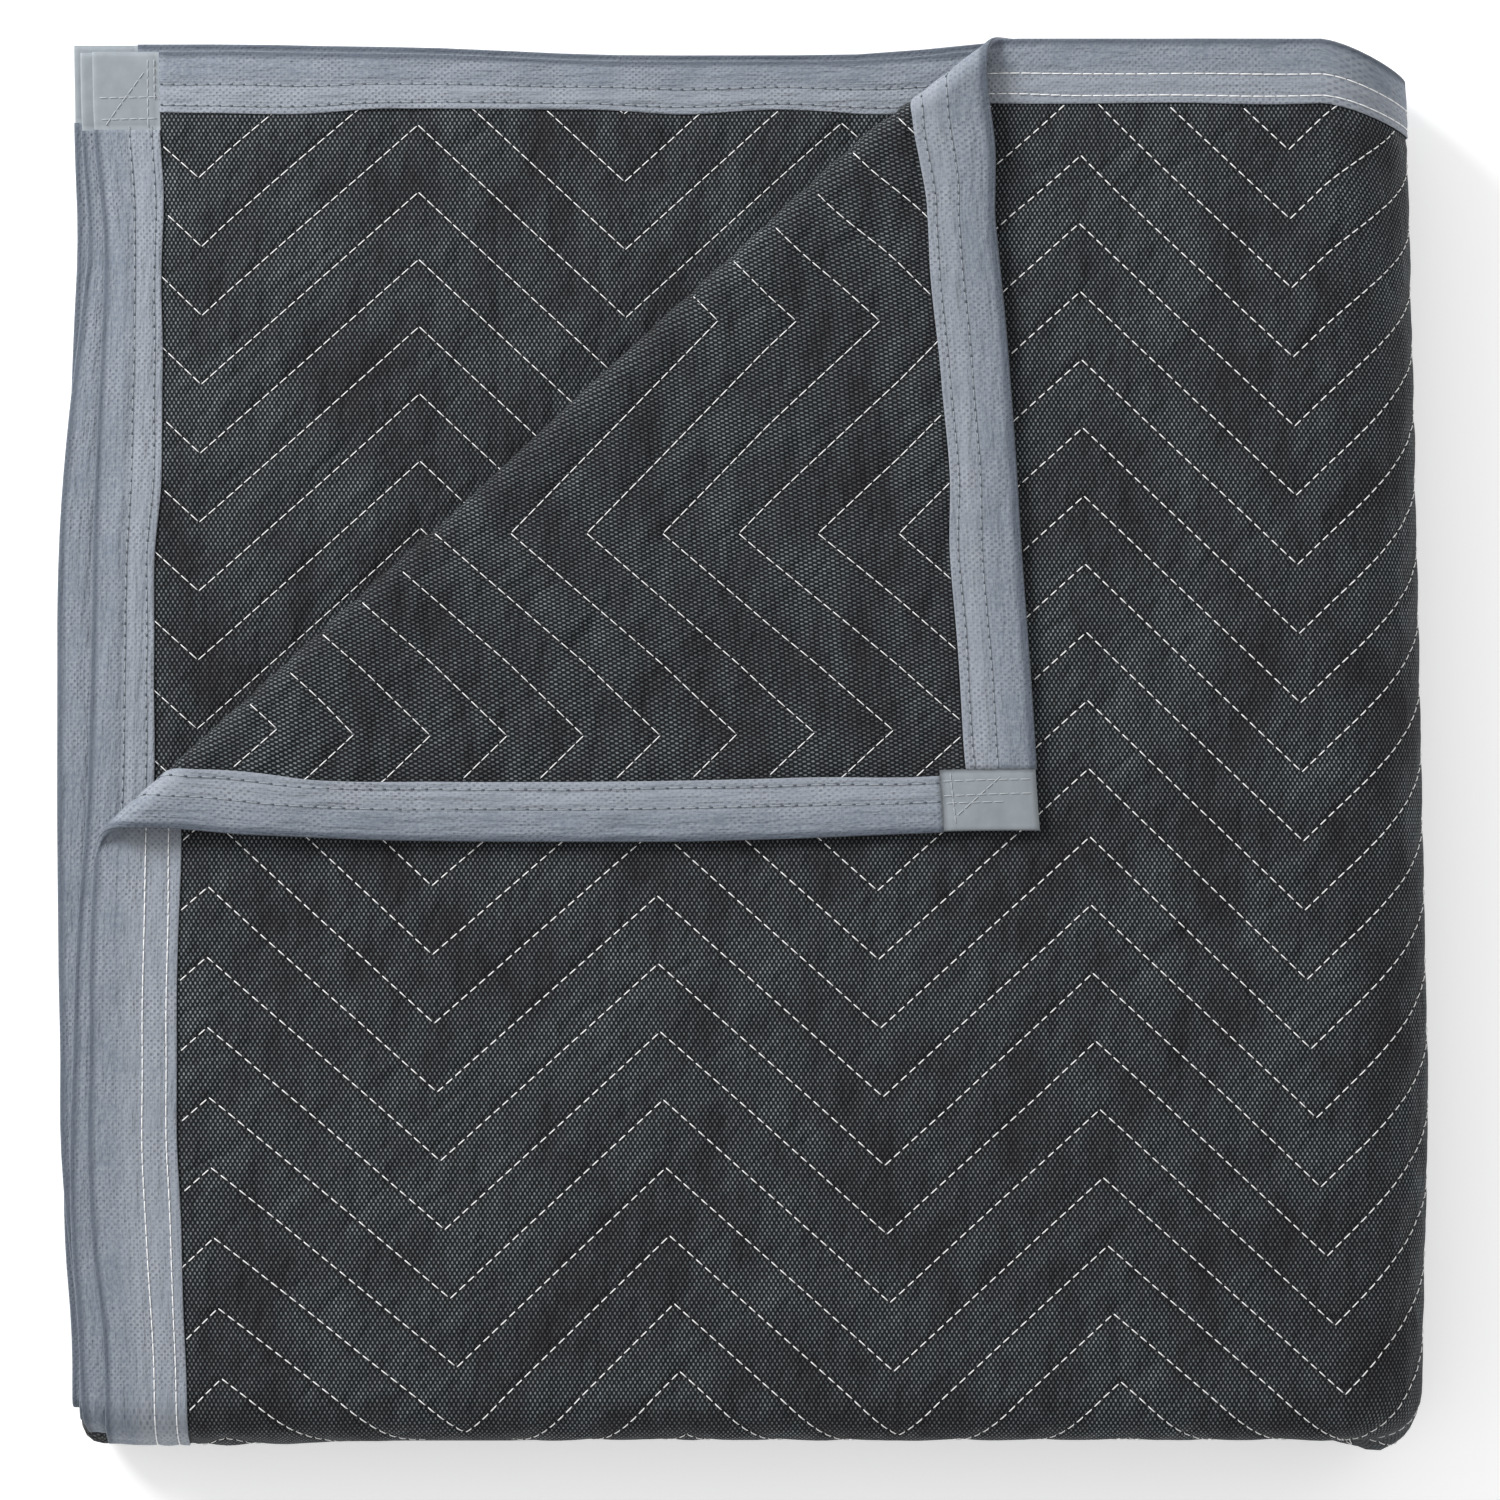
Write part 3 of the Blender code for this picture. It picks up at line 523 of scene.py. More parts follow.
def closed_sheet(properties):
    """The sheet as two faces and a rim: each grid point is folded at plus and minus its half."""
    across, down = sheet_grid()
    u, v = (part.ravel() for part in np.meshgrid(across, down))
    count, rows, columns = u.size, len(down), len(across)
    upper = fold(u, v, half_thickness(u, v, True, properties))
    lower = fold(u, v, -half_thickness(u, v, False, properties))
    quads = grid_quads(rows, columns)
    a, b, c, d = quads.T
    in_corner = (u < TURN_ON_TOP_EDGE) & (v < TURN_ON_LEFT_EDGE)
    split = in_corner[a]
    face = [quads[~split], np.column_stack((a, b, d))[split], np.column_stack((b, c, d))[split]]
    index = np.arange(count).reshape(rows, columns)
    loop = np.concatenate((index[0, :-1], index[:-1, -1], index[-1, :0:-1], index[:0:-1, 0]))
    faces = face + [part[:, ::-1] + count for part in face] + [rim_quads(loop[::-1], count)]
    from_fold = ramp(np.abs(turn_height(u, v) - TURN_HALF_ROUND), TURN_CLEAR, TURN_CLEAR)
    apart = np.where(in_corner, from_fold, 1.0)
    sewn = np.concatenate([face_margin(u, v, side_a) * apart for side_a in (True, False)])
    lengths = np.tile(np.column_stack(cloth_lengths(u, v)), (2, 1))
    return np.concatenate((upper, lower)), faces, lengths, {"seam": np.tile(sheet_seams(u, v), 2), "sewn": sewn}


def mesh_object(name, material, points, faces, lengths=None, extra=None):
    """A smooth object at the origin from points, groups of faces and the cloth's true lengths."""
    mesh = bpy.data.meshes.new(name)
    mesh.materials.append(material)
    mesh.from_pydata(points.tolist(), [], [face for group in faces for face in group.tolist()])
    mesh.shade_smooth()
    if lengths is not None:
        loops = np.zeros(len(mesh.loops), np.int32)
        mesh.loops.foreach_get("vertex_index", loops)
        layer = mesh.uv_layers.new(name="cloth")
        layer.data.foreach_set("uv", (lengths[loops] * MILLIMETRE).ravel().astype(np.float32))
    for key, values in (extra or {}).items():
        mesh.attributes.new(key, "FLOAT", "POINT").data.foreach_set("value", values.astype(np.float32))
    mesh.calc_loop_triangles()
    corners = np.zeros(3 * len(mesh.loop_triangles), np.int32)
    mesh.loop_triangles.foreach_get("vertices", corners)
    a, b, c = points[corners.reshape(-1, 3)].swapaxes(0, 1)
    if (a * np.cross(b, c)).sum() < 0.0:
        mesh.flip_normals()
    item = bpy.data.objects.new(name, mesh)
    bpy.context.scene.collection.objects.link(item)
    return item


def tape_profile(width_b, width_a, rows_a):
    """The folded tape's section at each station: flat faces puffed between the rows, a round edge."""
    outer, inner = TAPE_HALF, TAPE_HALF - TAPE_THIN

    def face(width, rows, sign):
        near, far = rows
        shares = (0.10, 0.30, near - 0.07, near, near + 0.07, (near + far) / 2, far - 0.06, far, far + 0.05)
        puffs = (-0.34, 0.06, 0.10, -0.24, 0.08, 0.17, 0.04, -0.24, -0.02)
        points = [(share * width, sign * (outer + puff)) for share, puff in zip(shares, puffs)]
        lip = ((0.4, outer - 0.02), (0.0, outer - 0.22), (0.0, inner + 0.12), (0.9, inner))
        return points + [(width - back, sign * height) for back, height in lip]

    turn = np.linspace(-math.pi / 2, math.pi / 2, 9)
    edge = [(-TAPE_GAP - 0.3 - 0.55 * math.cos(a), TAPE_RIM * math.sin(a)) for a in turn]
    back = [(-0.5 * TAPE_GAP * math.cos(a), -(TAPE_RIM - 0.4) * math.sin(a)) for a in turn[::4]]
    section = face(width_b, ROWS_PLAIN, -1.0)[::-1] + edge + face(width_a, rows_a, 1.0) + back
    across = np.stack([np.broadcast_to(q, width_b.shape) for q, _ in section], axis=1)
    return across, np.array([w for _, w in section])


def edge_to_sheet(edge, along, inward):
    """Turn a place along one edge, and a distance in from it, into the sheet's u and v."""
    if edge == "left":
        return inward, along
    if edge == "right":
        return SHEET_WIDTH - inward, along
    if edge == "top":
        return along, inward
    return along, SHEET_LENGTH - inward


def edge_places(edge):
    """Stations of the tape along an edge: the sheet's own grid lines, made closer."""
    across, down = sheet_grid()
    places, cap, length = across, CAP_ACROSS, SHEET_WIDTH
    if edge in ("left", "right"):
        places, cap, length = down, CAP_DOWN, SHEET_LENGTH
    start, end = cap + CAP_CLEAR, length - cap - CAP_CLEAR
    places = np.unique(np.concatenate((places, (places[1:] + places[:-1]) / 2)))
    places = places[(places > start + 0.5) & (places < end - 0.5)]
    return np.concatenate(([start], places, [end]))


def tape_skew(edge, along):
    """How far the tape's section lies askew, so that it follows the turned corner's fold line."""
    if edge not in ("left", "top"):
        return np.zeros_like(along)
    here, other = TURN_ON_LEFT_EDGE, TURN_ON_TOP_EDGE
    if edge == "top":
        here, other = other, here
    return -here / other * ramp(np.abs(along - here + 10.0), 67.0, -45.0)


def folded_tape(edge):
    """A binding: the folded tape's section carried along one edge of the sheet."""
    along = edge_places(edge)
    width_b, width_a = (tape_width(edge, along, side_a) for side_a in (False, True))
    across, height = tape_profile(width_b, width_a, ROWS_WIDE if edge == "left" else ROWS_PLAIN)
    place = along.reshape(-1, 1) + tape_skew(edge, along).reshape(-1, 1) * across
    relief = 0.10 * soft_noise(place, across, 5.0, 31) + 0.16 * soft_noise(0.35 * place, across, 6.0, 32)
    relief = relief * np.sign(height)
    if edge == "top":
        gathers = np.sin((place - 0.6 * across) * 2 * math.pi / GATHER_PITCH) * hump(place, *GATHERS_AT)
        relief = relief + 0.35 * gathers * (height > 0.0)
    if edge == "left":
        wander = width_b * (0.30 + 0.12 * soft_noise(along, 0.0 * along, 70.0, 33))
        ridge = hump(across, wander.reshape(-1, 1), RIDGE_REACH) * ramp(place, *RIDGE_FROM)
        relief = relief - 0.9 * ridge * (height < 0.0)
    outside = np.abs(height) > TAPE_HALF - TAPE_THIN + 0.1
    points = fold(*edge_to_sheet(edge, place, across), height + relief * outside)
    rows, sides = across.shape
    ring = np.arange(sides)
    faces = [tube_quads(rows, sides), np.stack((ring[::-1], ring + (rows - 1) * sides))]
    lengths = np.stack((across * np.where(height < 0.0, -1.0, 1.0), place), axis=-1)
    return points.reshape(-1, 3), faces, lengths.reshape(-1, 2)


def cap_surface(right, foot):
    """A corner cap: a pocket of smooth tape, run over one face, round and back, and its lining."""
    outer, inner = TAPE_HALF + 0.12, TAPE_HALF - TAPE_THIN
    turn = np.linspace(math.pi / 2, -math.pi / 2, 7)
    rim = -TAPE_GAP - TAPE_THIN * 0.6
    face = np.linspace(CAP_ACROSS + 0.3, 1.2, 13)
    side = np.linspace(CAP_DOWN + 0.2, 1.2, 15)
    flat = np.ones(len(face))
    share = np.concatenate((flat, np.sin(turn), -flat))
    lift = np.concatenate((np.ones(len(side)), (0.75, 0.05))).reshape(-1, 1)
    inward, along = np.meshgrid(
        np.concatenate((face, rim * np.cos(turn), face[::-1])),
        np.concatenate((side, rim * np.array((0.7, 1.0)))),
    )
    height = outer * share * lift
    height = np.where((inward > CAP_ACROSS) | (along > CAP_DOWN), np.sign(height) * (inner + 0.15), height)

    def placed(q, p, w):
        points = fold(SHEET_WIDTH - q if right else q, SHEET_LENGTH - p if foot else p, w)
        return points.reshape(-1, 3)

    shell = placed(inward, along, height)
    least = -TAPE_GAP * 0.6
    back = np.sign(height) * inner * np.abs(share) * lift
    lining = placed(np.maximum(inward, least), np.maximum(along, least), back)
    rows, columns = inward.shape
    index = np.arange(rows * columns).reshape(rows, columns)
    near, far = index[-1, :columns // 2 + 1], index[-1, ::-1][:columns // 2 + 1]
    closing = np.column_stack((near[:-1], near[1:], far[1:], far[:-1]))
    faces = [grid_quads(rows, columns), closing[:-1], closing[-1:, (0, 1, 3)]]
    faces += [part[:, ::-1] + index.size for part in faces]
    faces.append(rim_quads(np.concatenate((index[::-1, 0], index[0, 1:], index[1:, -1])), index.size))
    lengths = np.stack((inward + 60.0 * np.sign(height), along), axis=-1).reshape(-1, 2)
    return np.concatenate((shell, lining)), faces, np.tile(lengths, (2, 1))


def stitch_marks(line, pitch, dash):
    """Ends of the stitches along a line, whole stitches to each straight leg, at true lengths."""
    firsts, lasts = [], []
    for start, end in zip(line[:-1], line[1:]):
        count = max(1, round(float(np.linalg.norm(end - start)) / pitch))
        share = np.arange(count).reshape(-1, 1) / count
        firsts.append(start + (end - start) * share)
        lasts.append(start + (end - start) * (share + dash / pitch / count))
    return np.concatenate(firsts), np.concatenate(lasts)


# Rings of a stitch: share of its length, share of its radius, and how far it rises off the cloth
STITCH_RINGS = ((0.0, 0.45, -0.35), (0.16, 1.0, 0.1), (0.84, 1.0, 0.1), (1.0, 0.45, -0.35))
STITCH_SIDES = 6
STITCH_SHORTEST = 0.0008
STITCH_LONGEST = 0.008


def stitch_bodies(first, last, rise, fall, radius):
    """Thread between two sheet points each: a six-sided spindle in four rings, dipped at its ends."""
    start, along = fold(*first.T, rise), fold(*last.T, fall) - fold(*first.T, rise)
    heights = (rise + fall) / 2
    middle = (first + last).T / 2
    out = fold(*middle, heights + 0.5 * np.sign(heights)) - fold(*middle, heights)
    out /= np.linalg.norm(out, axis=1, keepdims=True)
    length = np.linalg.norm(along, axis=1)
    good = (length > STITCH_SHORTEST) & (length < STITCH_LONGEST)
    start, along, out = start[good], along[good], out[good]
    side = np.cross(along, out)
    side /= np.linalg.norm(side, axis=1, keepdims=True)
    start, along, out, side = (part.reshape(-1, 1, 1, 3) for part in (start, along, out, side))
    share, girth, dip = np.array(STITCH_RINGS).T.reshape(3, 1, -1, 1, 1)
    ring = np.arange(STITCH_SIDES)
    angle = ring.reshape(-1, 1) * 2 * math.pi / STITCH_SIDES
    body = out * dip + radius * girth * (np.cos(angle) * side + 0.8 * np.sin(angle) * out)
    points = start + along * share + body * MILLIMETRE
    before = STITCH_SIDES * len(STITCH_RINGS) * np.arange(len(points)).reshape(-1, 1, 1)
    bands = tube_quads(len(STITCH_RINGS), STITCH_SIDES) + before
    ends = np.stack((ring[::-1], ring + STITCH_SIDES * (len(STITCH_RINGS) - 1))) + before
    return points.reshape(-1, 3), [bands.reshape(-1, 4), ends.reshape(-1, STITCH_SIDES)]


def join_parts(parts):
    """Join points and groups of faces into one."""
    offsets = np.cumsum([0] + [len(points) for points, _ in parts])
    faces = [group + offset for (_, groups), offset in zip(parts, offsets) for group in groups]
    return np.concatenate([points for points, _ in parts]), faces


def quilting_of(columns, numbers, to_flat, keep, properties, side_a):
    """All stitches of one zone's chevrons, as sheet points, kept where the zone shows."""
    pitch = properties.stitch / MILLIMETRE
    dash = pitch * (0.76 if side_a else 0.88)
    marks = [stitch_marks(seam_line(columns, number), pitch, dash) for number in numbers]
    first, last = (to_flat(np.concatenate(ends)) for ends in zip(*marks))
    u, v = (first + last).T / 2
    kept = keep(u, v) & (face_margin(u, v, side_a) > 0.0)
    return first[kept], last[kept]


def surface_height(u, v, side_a, properties):
    """Height of the meshed face over the sheet's middle: the grid's values, read between lines."""
    across, down = sheet_grid()
    i = np.clip(np.searchsorted(across, u) - 1, 0, len(across) - 2)
    j = np.clip(np.searchsorted(down, v) - 1, 0, len(down) - 2)
    x = (u - across[i]) / (across[i + 1] - across[i])
    y = (v - down[j]) / (down[j + 1] - down[j])
    near, far = (
        half_thickness(across[i], down[b], side_a, properties) * (1.0 - x)
        + half_thickness(across[i + 1], down[b], side_a, properties) * x
        for b in (j, j + 1)
    )
    return (near * (1.0 - y) + far * y) * (1.0 if side_a else -1.0)


def chevron_thread(properties, side_a):
    """The quilting thread seen on one side of the cloth."""
    def top_flat(p):
        return np.column_stack((flat_length(p[:, 0], *ROLL_ACROSS), flat_length(p[:, 1], *ROLL_DOWN)))

    def top_keep(u, v):
        return (turn_height(u, v) < 2.0) & (u < ACROSS_END + 4) & (v < DOWN_END)

    def second_flat(p):
        return np.column_stack((p[:, 0], second_down(p[:, 1])))

    def second_keep(u, v):
        return (turn_height(u, second_down(v)) > -20.0) & (v < SHEET_LENGTH - 20.0)

    def turned_flat(p):
        back, offset = turned_inverse()
        return p[:, ::-1] @ back.T + offset

    def turned_keep(u, v):
        return turn_height(u, v) > 11.0

    zones = (
        (SECOND_COLUMNS, SEAMS_SECOND, second_flat, second_keep),
        (TURNED_COLUMNS, SEAMS_TURNED, turned_flat, turned_keep),
    )
    thick, over = 0.85, -0.2
    if side_a:
        zones = ((TOP_COLUMNS, SEAMS_TOP, top_flat, top_keep),)
        thick, over = 1.0, 0.2
    parts = []
    for zone in zones:
        ends = quilting_of(*zone, properties, side_a)
        rise, fall = (surface_height(*end.T, side_a, properties) + over for end in ends)
        parts.append(stitch_bodies(*ends, rise, fall, properties.thread / MILLIMETRE * thick))
    return join_parts(parts)


# Twin rows of binding stitches: edge, on side A, start, end
TAPE_ROWS = (
    ("left", True, 268.0, 520.0),
    ("top", True, 296.0, 540.0),
    ("left", False, 28.0, 266.0),
    ("top", False, 23.5, 292.0),
    ("left", False, 1400.0, SHEET_LENGTH - 28.0),
    ("bottom", False, 23.5, 330.0),
    ("right", True, 1400.0, SHEET_LENGTH - 28.0),
    ("right", False, 1400.0, SHEET_LENGTH - 28.0),
)

# Lines sewn over the caps' second side, as (in from the side, in from the top or foot) pairs
CAP_LINES = {
    "top_left": (
        ((18.9, 1.0), (18.4, 26.6)), ((13.6, 1.0), (12.8, 26.6)), ((2.0, 23.6), (21.6, 24.2)),
        ((5.2, 23.1), (20.0, 9.6)), ((10.4, 9.0), (10.0, 26.0)),
    ),
    "bottom_left": (
        ((1.5, 16.0), (21.8, 15.6)), ((2.0, 23.7), (21.6, 23.2)), ((3.4, 25.8), (17.4, 6.6)),
        ((18.6, 2.0), (18.4, 26.4)), ((20.9, 2.0), (20.9, 17.0)),
    ),
}


def tape_row_pairs(side_a, before, after, properties):
    """The two ends of something set at each stitch of every row on one side of the cloth."""
    firsts, lasts = [], []
    for edge, _, start, end in (row for row in TAPE_ROWS if row[1] == side_a):
        places = np.arange(start, end, properties.stitch / MILLIMETRE)
        for share in ROWS_WIDE if edge == "left" and side_a else ROWS_PLAIN:
            wander = 0.25 * soft_noise(places, 0.0 * places + share * 99.0, 26.0, 41)
            inward = tape_width(edge, places, side_a) * share + wander
            for group, step in ((firsts, before), (lasts, after)):
                along = places + step
                if side_a and edge in ("top", "left"):
                    along = flat_length(along, *(ROLL_ACROSS if edge == "top" else ROLL_DOWN))
                group.append(np.column_stack(edge_to_sheet(edge, along, inward)))
    return np.concatenate(firsts), np.concatenate(lasts)


def binding_thread(properties, side_a):
    """The twin rows sewn through the tape on one side of the cloth."""
    sign, dash, thick = (1.0, 1.0, 0.95) if side_a else (-1.0, 0.9, 0.7)
    first, last = tape_row_pairs(side_a, 0.0, properties.stitch / MILLIMETRE * dash, properties)
    height = (TAPE_HALF + 0.02) * sign
    return stitch_bodies(first, last, height, height, properties.thread / MILLIMETRE * thick)


def needle_holes(properties):
    """Painted shade of the needle holes between the stitches of the tape's second side: low dark six-sided
    studs.
    """
    height = -TAPE_HALF + 0.06
    return stitch_bodies(*tape_row_pairs(False, -0.62, 0.46, properties), height, height, 0.30)


def cap_thread(properties):
    """The lines sewn over the two caps whose second side shows."""
    pitch, height = properties.stitch / MILLIMETRE, -TAPE_HALF - 0.2
    parts = []
    for corner, lines in CAP_LINES.items():
        for line in lines:
            ends = stitch_marks(np.array(line), pitch * 0.8, pitch * 0.78)
            if corner == "bottom_left":
                ends = [end * (1.0, -1.0) + (0.0, SHEET_LENGTH) for end in ends]
            parts.append(stitch_bodies(*ends, height, height, properties.thread / MILLIMETRE * 0.8))
    return join_parts(parts)


def linear(code):
    """sRGB hex to linear RGBA."""
    channels = [int(code[i:i + 2], 16) / 255.0 for i in (1, 3, 5)]
    return tuple(c / 12.92 if c <= 0.04045 else ((c + 0.055) / 1.055) ** 2.4 for c in channels) + (1.0,)


def add_node(tree, kind, inputs=(), output=0, **settings):
    """Add a node with its settings, and its values and links in order or by key; give an output."""
    node = tree.nodes.new(kind)
    for key, value in settings.items():
        setattr(node, key, value)
    for key, value in inputs.items() if isinstance(inputs, dict) else enumerate(inputs):
        if isinstance(value, bpy.types.NodeSocket):
            tree.links.new(value, node.inputs[key])
        else:
            node.inputs[key].default_value = value
    return node.outputs[output]


def new_material(name, roughness, sheen=0.0, specular=0.3):
    """A material, its shader with the values that are the same all over, and its own add_node."""
    material = bpy.data.materials.new(name)
    material.use_nodes = True
    shader = material.node_tree.nodes["Principled BSDF"]
    shader.inputs["Roughness"].default_value = roughness
    shader.inputs["Sheen Weight"].default_value = sheen
    shader.inputs["Specular IOR Level"].default_value = specular
    return material, shader, partial(add_node, material.node_tree)


def feed(shader, **sockets):
    """Link sockets to the shader's inputs, each named with an underscore for a space."""
    for name, socket in sockets.items():
        shader.id_data.links.new(socket, shader.inputs[name.replace("_", " ")])


def staggered_dots(node, vector, across, down):
    """Dots in staggered rows: two sine waves of these lengths in metres, at right angles, multiplied."""
    parts = node("ShaderNodeSeparateXYZ", (vector,)).node.outputs
    waves = [
        node(MATH, (node(MATH, (parts[axis], 2 * math.pi / pitch), operation="MULTIPLY"),), operation="SINE")
        for axis, pitch in (("X", across), ("Y", down))
    ]
    return node(MATH, waves, operation="MULTIPLY")


def stretched_noise(node, vector, across, down, detail=4.0, rough=0.55, turn=0.0):
    """Soft cloudy noise with this many waves to a metre across and down, turned by an angle."""
    sizes = {"Vector": vector, "Scale": (1.0 / across, 1.0 / down, 1.0 / down), "Rotation": (0.0, 0.0, turn)}
    scaled = node("ShaderNodeMapping", sizes, vector_type="TEXTURE")
    return node("ShaderNodeTexNoise", {"Vector": scaled, "Scale": 1.0, "Detail": detail, "Roughness": rough})


def laid_over(node, colour, *layers):
    """Lay colours over a first one: (share, hex code) each."""
    for share, code in layers:
        colour = node(MIX, {0: share, 6: colour, 7: linear(code)}, 2, data_type="RGBA")
    return colour


def bumps(node, *layers):
    """The normal of stacked bump layers of (height, strength, distance in metres)."""
    below = {}
    for height, strength, distance in layers:
        sizes = {"Height": height, "Strength": strength, "Distance": distance, **below}
        below = {"Normal": node("ShaderNodeBump", sizes)}
    return below["Normal"]


def quilted_dobby_cotton(properties):
    """Cotton and polyester dobby cloth: matte, with fine staggered dots, faded patches and puckers."""
    material, shader, node = new_material("quilted_dobby_cotton", 0.9, sheen=0.05, specular=0.15)
    uv = node("ShaderNodeUVMap", uv_map="cloth")
    place = node("ShaderNodeTexCoord", output="Object")
    dots = staggered_dots(node, uv, 0.0016, 0.0025)
    fine = stretched_noise(node, uv, 800.0, 800.0, 2.0)
    large, middle = stretched_noise(node, place, 34.0, 20.0), stretched_noise(node, place, 110.0, 60.0)
    patch = node(MAP, (node(MIX, {0: 0.4, 2: large, 3: middle}), 0.36, 0.64))

    # The groove along each seam, from the seams' own numbers
    seam, sewn = (node("ShaderNodeAttribute", output="Fac", attribute_name=name) for name in ("seam", "sewn"))
    away = node(MATH, (seam, 0.5), operation="PINGPONG")
    groove = node(MAP, (away, 0.12, 0.0), interpolation_type="SMOOTHSTEP")
    groove = node(MATH, (groove, sewn), operation="MULTIPLY")

    # Colour: patches, then dots that show more where the cloth is pale, then shade in the grooves
    colours = {0: patch, 6: properties.cloth_dark, 7: properties.cloth_light}
    ground = node(MIX, colours, 2, data_type="RGBA")
    dotted = node(MATH, (node(MAP, (dots, 0.1, 0.7)), fine), operation="MULTIPLY")
    dotted = node(MATH, (dotted, node(MATH, (patch, 0.45))), operation="MULTIPLY")
    shaded = node(MATH, (groove, 0.45), operation="MULTIPLY")
    colour = laid_over(node, ground, (dotted, "#8d9599"), (shaded, "#151416"))

    # Relief: soft creases with slanting ridges, puckers and sunk seams, weave
    slanting = stretched_noise(node, place, 18.0, 62.0, 2.0, turn=math.radians(38.0))
    ridges = node(MATH, (node(MATH, (slanting, 0.5), operation="SUBTRACT"),), operation="ABSOLUTE")
    strength = node(MATH, (patch, 1.7), operation="MULTIPLY")
    soft = stretched_noise(node, place, 95.0, 38.0, 3.0)
    creases = node(MATH, (ridges, strength, soft), operation="MULTIPLY_ADD")
    puckers = node(MATH, (stretched_noise(node, uv, 260.0, 260.0, 2.0), groove), operation="MULTIPLY")
    sunk = node(MATH, (puckers, groove), operation="SUBTRACT")
    weave = node(MATH, (dots, fine))
    normal = bumps(node, (creases, 1.0, 0.0044), (sunk, 0.8, 0.0009), (weave, 0.4, 0.00022))
    feed(shader, Base_Color=colour, Normal=normal)
    return material


def embossed_non_woven_tape(properties):
    """Spun-bonded polypropylene tape: matte pale blue-grey fibres pressed with rows of dots."""
    material, shader, node = new_material("embossed_non_woven_tape", 0.8, sheen=0.05, specular=0.2)
    uv = node("ShaderNodeUVMap", uv_map="cloth")
    place = node("ShaderNodeTexCoord", output="Object")
    pressed = node(MAP, (staggered_dots(node, uv, 0.0023, 0.0023), 0.1, 0.7))
    inward = node(MATH, (node("ShaderNodeSeparateXYZ", (uv,)),), operation="ABSOLUTE")
    cloud = stretched_noise(node, place, 70.0, 70.0, 5.0, 0.65)
    fibres = stretched_noise(node, uv, 900.0, 560.0, 4.0, 0.7)

    # Colour: paler away from the edge and in clouds, then dots, pale fibres and painted shade along the folded
    # edge
    flat = node(MIX, {0: 0.5, 2: node(MAP, (inward, 0.008, 0.0125)), 3: node(MAP, (cloud, 0.35, 0.65))})
    colours = {0: flat, 6: properties.tape_dark, 7: properties.tape_light}
    ground = node(MIX, colours, 2, data_type="RGBA")
    spread = node(MATH, (node(MAP, (cloud, 0.42, 0.62)), 0.5, 0.22), operation="MULTIPLY_ADD")
    marks = node(MATH, (pressed, spread), operation="MULTIPLY")
    streak = node(MAP, (fibres, 0.4, 0.65, 0.0, 0.42))
    # Painted shade: the tape darkens within a few millimetres of its folded edge, for the shade between stacked
    # layers
    painted_edge_shade = node(MAP, (inward, 0.0, 0.0024, 0.75, 0.0), interpolation_type="SMOOTHSTEP")
    colour = laid_over(node, ground, (marks, "#5c6475"), (streak, "#a3a9ae"), (painted_edge_shade, "#4c5460"))

    pleats = stretched_noise(node, uv, 330.0, 60.0, 3.0)
    sunk = node(MATH, (fibres, marks), operation="SUBTRACT")
    feed(shader, Base_Color=colour, Normal=bumps(node, (pleats, 0.8, 0.0018), (sunk, 0.6, 0.0004)))
    return material


def smooth_corner_tape():
    """The same spun-bonded cloth, calendered smooth for the caps: paler, with faint fibres."""
    material, shader, node = new_material("smooth_corner_tape", 0.7, sheen=0.1)
    place = node("ShaderNodeTexCoord", output="Object")
    cloud = stretched_noise(node, place, 150.0, 150.0, 6.0, 0.6)
    creases = stretched_noise(node, place, 70.0, 45.0, 2.0)
    colour = laid_over(node, linear("#7f868c"), (cloud, "#979ea3"))
    feed(shader, Base_Color=colour, Normal=bumps(node, (creases, 0.6, 0.002), (cloud, 0.3, 0.0005)))
    return material


def spun_thread(name, code):
    """Spun polyester sewing thread: matte, its twist too fine to show but as mottling."""
    material, shader, node = new_material(name, 0.7, sheen=0.2)
    twist = stretched_noise(node, node("ShaderNodeTexCoord", output="Object"), 900.0, 900.0, 2.0)
    dim = [0.8 * channel for channel in linear(code)[:3]] + [1.0]
    feed(shader, Base_Color=laid_over(node, dim, (twist, code)))
    return material


class PadCloth(bpy.types.PropertyGroup):
    """Sizes and colours of the quilted cloth and its sewing."""

    crown: LENGTH(name="Crown", description="Half the pad's thickness between seams", default=0.00175)
    seam: LENGTH(name="Seam", description="Half the pad's thickness at a seam", default=0.0007)
    stitch: LENGTH(name="Stitch", description="Length of one stitch", default=0.0041)
    thread: LENGTH(name="Thread", description="Radius of the thread as it shows", default=0.00022)
    cloth_dark: COLOUR(name="Dark cloth", description="Faded purple patches", default=linear("#181619"))
    cloth_light: COLOUR(name="Light cloth", description="Slate ground", default=linear("#1a1e21"))
    tape_dark: COLOUR(name="Dark tape", description="Shaded fibres of the tape", default=linear("#717a87"))
    tape_light: COLOUR(name="Light tape", description="Open fibres of the tape", default=linear("#979ca5"))


class MOVINGPAD_OT_cloth(bpy.types.Operator):
    """Build the folded quilted cloth"""

    bl_idname = "moving_pad.cloth"
    bl_label = "Quilted cloth"

    def execute(self, context):
        properties = context.scene.moving_pad
        cloth = mesh_object("quilted_cloth", quilted_dobby_cotton(properties), *closed_sheet(properties))
        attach(cloth, "root")
        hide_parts("quilt")
        return {"FINISHED"}


class MOVINGPAD_OT_bindings(bpy.types.Operator):
    """Build the four folded bindings"""

    bl_idname = "moving_pad.bindings"
    bl_label = "Bindings"

    def execute(self, context):
        tape = embossed_non_woven_tape(context.scene.moving_pad)
        for edge in EDGES:
            strip = mesh_object("tape_" + edge, tape, *folded_tape(edge))
            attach(strip, "root")
            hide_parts("binding_" + edge)
        return {"FINISHED"}


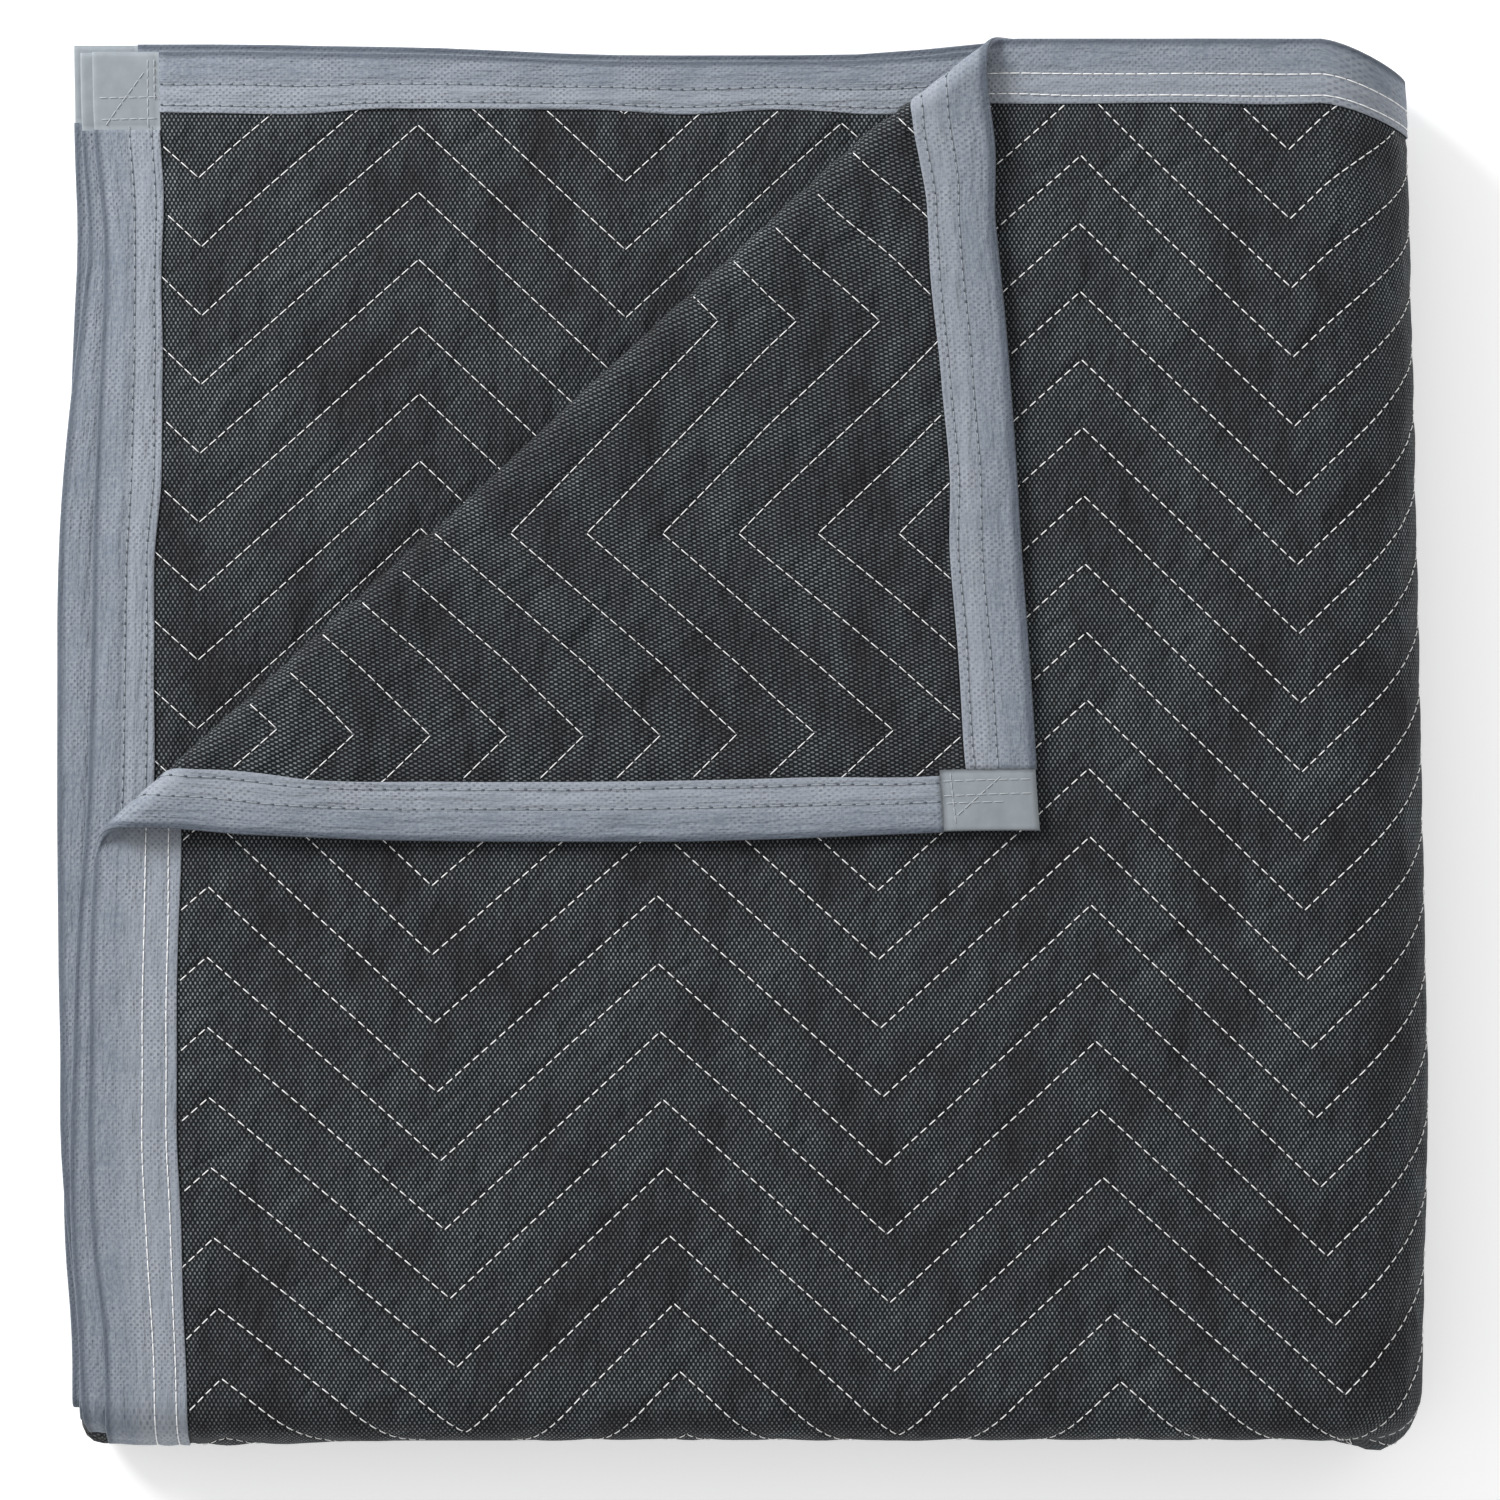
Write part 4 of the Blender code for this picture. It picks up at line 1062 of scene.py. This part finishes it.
class MOVINGPAD_OT_caps(bpy.types.Operator):
    """Build the four corner caps"""

    bl_idname = "moving_pad.caps"
    bl_label = "Corner caps"

    def execute(self, context):
        smooth = smooth_corner_tape()
        for corner in CORNERS:
            cap = mesh_object("cap_" + corner, smooth, *cap_surface("right" in corner, "bottom" in corner))
            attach(cap, "root")
            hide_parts("corner_" + corner)
        return {"FINISHED"}


class MOVINGPAD_OT_sewing(bpy.types.Operator):
    """Build the quilting thread and the twin rows through the tape"""

    bl_idname = "moving_pad.sewing"
    bl_label = "Sewing"

    def execute(self, context):
        properties = context.scene.moving_pad
        white = spun_thread("white_spun_thread", "#ffffff")
        pale = spun_thread("pale_spun_thread", "#b9bfc4")
        grey = spun_thread("grey_spun_thread", "#a4abb1")
        # Painted shade: the needle holes' shade, given as a dark thread colour on low studs
        dark = spun_thread("needle_hole_shade", "#535b65")
        for name, parts, colour, slot in (
            ("quilting_outside", chevron_thread(properties, True), white, "quilted_cloth"),
            ("quilting_inside", chevron_thread(properties, False), white, "quilted_cloth"),
            ("cap_rows", cap_thread(properties), pale, "corner_tape"),
            ("tape_rows_outside", binding_thread(properties, True), white, "binding_tape"),
            ("tape_rows_inside", binding_thread(properties, False), grey, "binding_tape"),
            ("tape_needle_holes", needle_holes(properties), dark, "binding_tape"),
        ):
            thread = mesh_object(name, colour, *parts)
            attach(thread, "root")
        return {"FINISHED"}


class MOVINGPAD_OT_stage(bpy.types.Operator):
    """Build the floor, the lights and the camera"""

    bl_idname = "moving_pad.stage"
    bl_label = "Stage"

    def execute(self, context):
        scene = context.scene
        paper, shader, _ = new_material("pale_paper_floor", 0.9)
        shader.inputs["Base Color"].default_value = linear("#fbfbfb")
        shader.inputs["Emission Color"].default_value = (1.0, 1.0, 1.0, 1.0)
        shader.inputs["Emission Strength"].default_value = 0.36
        corners = np.array(((-1.0, -1.0, 0.0), (1.0, -1.0, 0.0), (1.0, 1.0, 0.0), (-1.0, 1.0, 0.0)))
        corners = corners * FLOOR_REACH - (0.0, 0.0, FLOOR_BELOW)
        floor = mesh_object("floor", paper, corners, [np.arange(4).reshape(1, 4)])
        world = bpy.data.worlds.new("studio")
        world.use_nodes = True
        background = world.node_tree.nodes["Background"]
        background.inputs["Color"].default_value = (1.0, 1.0, 1.0, 1.0)
        background.inputs["Strength"].default_value = 0.60
        scene.world = world
        scene.view_settings.view_transform = "Standard"
        for name, place, size, power in LIGHTS:
            lamp = bpy.data.lights.new(name, "AREA")
            lamp.size = size
            lamp.energy = power
            item = bpy.data.objects.new(name, lamp)
            item.location = place
            item.rotation_euler = (-Vector(place)).to_track_quat("-Z", "Y").to_euler()
            scene.collection.objects.link(item)
        camera = bpy.data.cameras.new("camera")
        camera.lens = LENS
        camera.sensor_width = SENSOR
        camera.clip_end = 50.0
        eye = bpy.data.objects.new("camera", camera)
        distance = PHOTO_WIDTH * MILLIMETRE * LENS / SENSOR
        across = (PHOTO_CENTRE[0] - MIDDLE_ACROSS) * MILLIMETRE
        down = (MIDDLE_DOWN - PHOTO_CENTRE[1]) * MILLIMETRE
        eye.location = (across, down, distance + 2 * STACK_MIDDLE * MILLIMETRE)
        scene.collection.objects.link(eye)
        scene.camera = eye
        return {"FINISHED"}


class MOVINGPAD_PT_panel(bpy.types.Panel):
    """Lists the pad's pieces and sizes in the sidebar"""

    bl_idname = "MOVINGPAD_PT_panel"
    bl_label = "Moving Pad"
    bl_space_type = "VIEW_3D"
    bl_region_type = "UI"
    bl_category = "Moving Pad"

    def draw(self, context):
        for name in PadCloth.__annotations__:
            self.layout.prop(context.scene.moving_pad, name)
        for operator in OPERATORS:
            self.layout.operator(operator.bl_idname)


OPERATORS = (
    MOVINGPAD_OT_cloth,
    MOVINGPAD_OT_bindings,
    MOVINGPAD_OT_caps,
    MOVINGPAD_OT_sewing,
    MOVINGPAD_OT_stage,
)
CLASSES = (PadCloth,) + OPERATORS + (MOVINGPAD_PT_panel,)


def register():
    for item in CLASSES:
        bpy.utils.register_class(item)
    bpy.types.Scene.moving_pad = bpy.props.PointerProperty(type=PadCloth)


def unregister():
    del bpy.types.Scene.moving_pad
    for item in reversed(CLASSES):
        bpy.utils.unregister_class(item)


def main():
    register()
    bpy.ops.moving_pad.cloth()
    bpy.ops.moving_pad.bindings()
    bpy.ops.moving_pad.caps()
    bpy.ops.moving_pad.sewing()
    bpy.ops.moving_pad.stage()


if __name__ == "__main__":
    main()
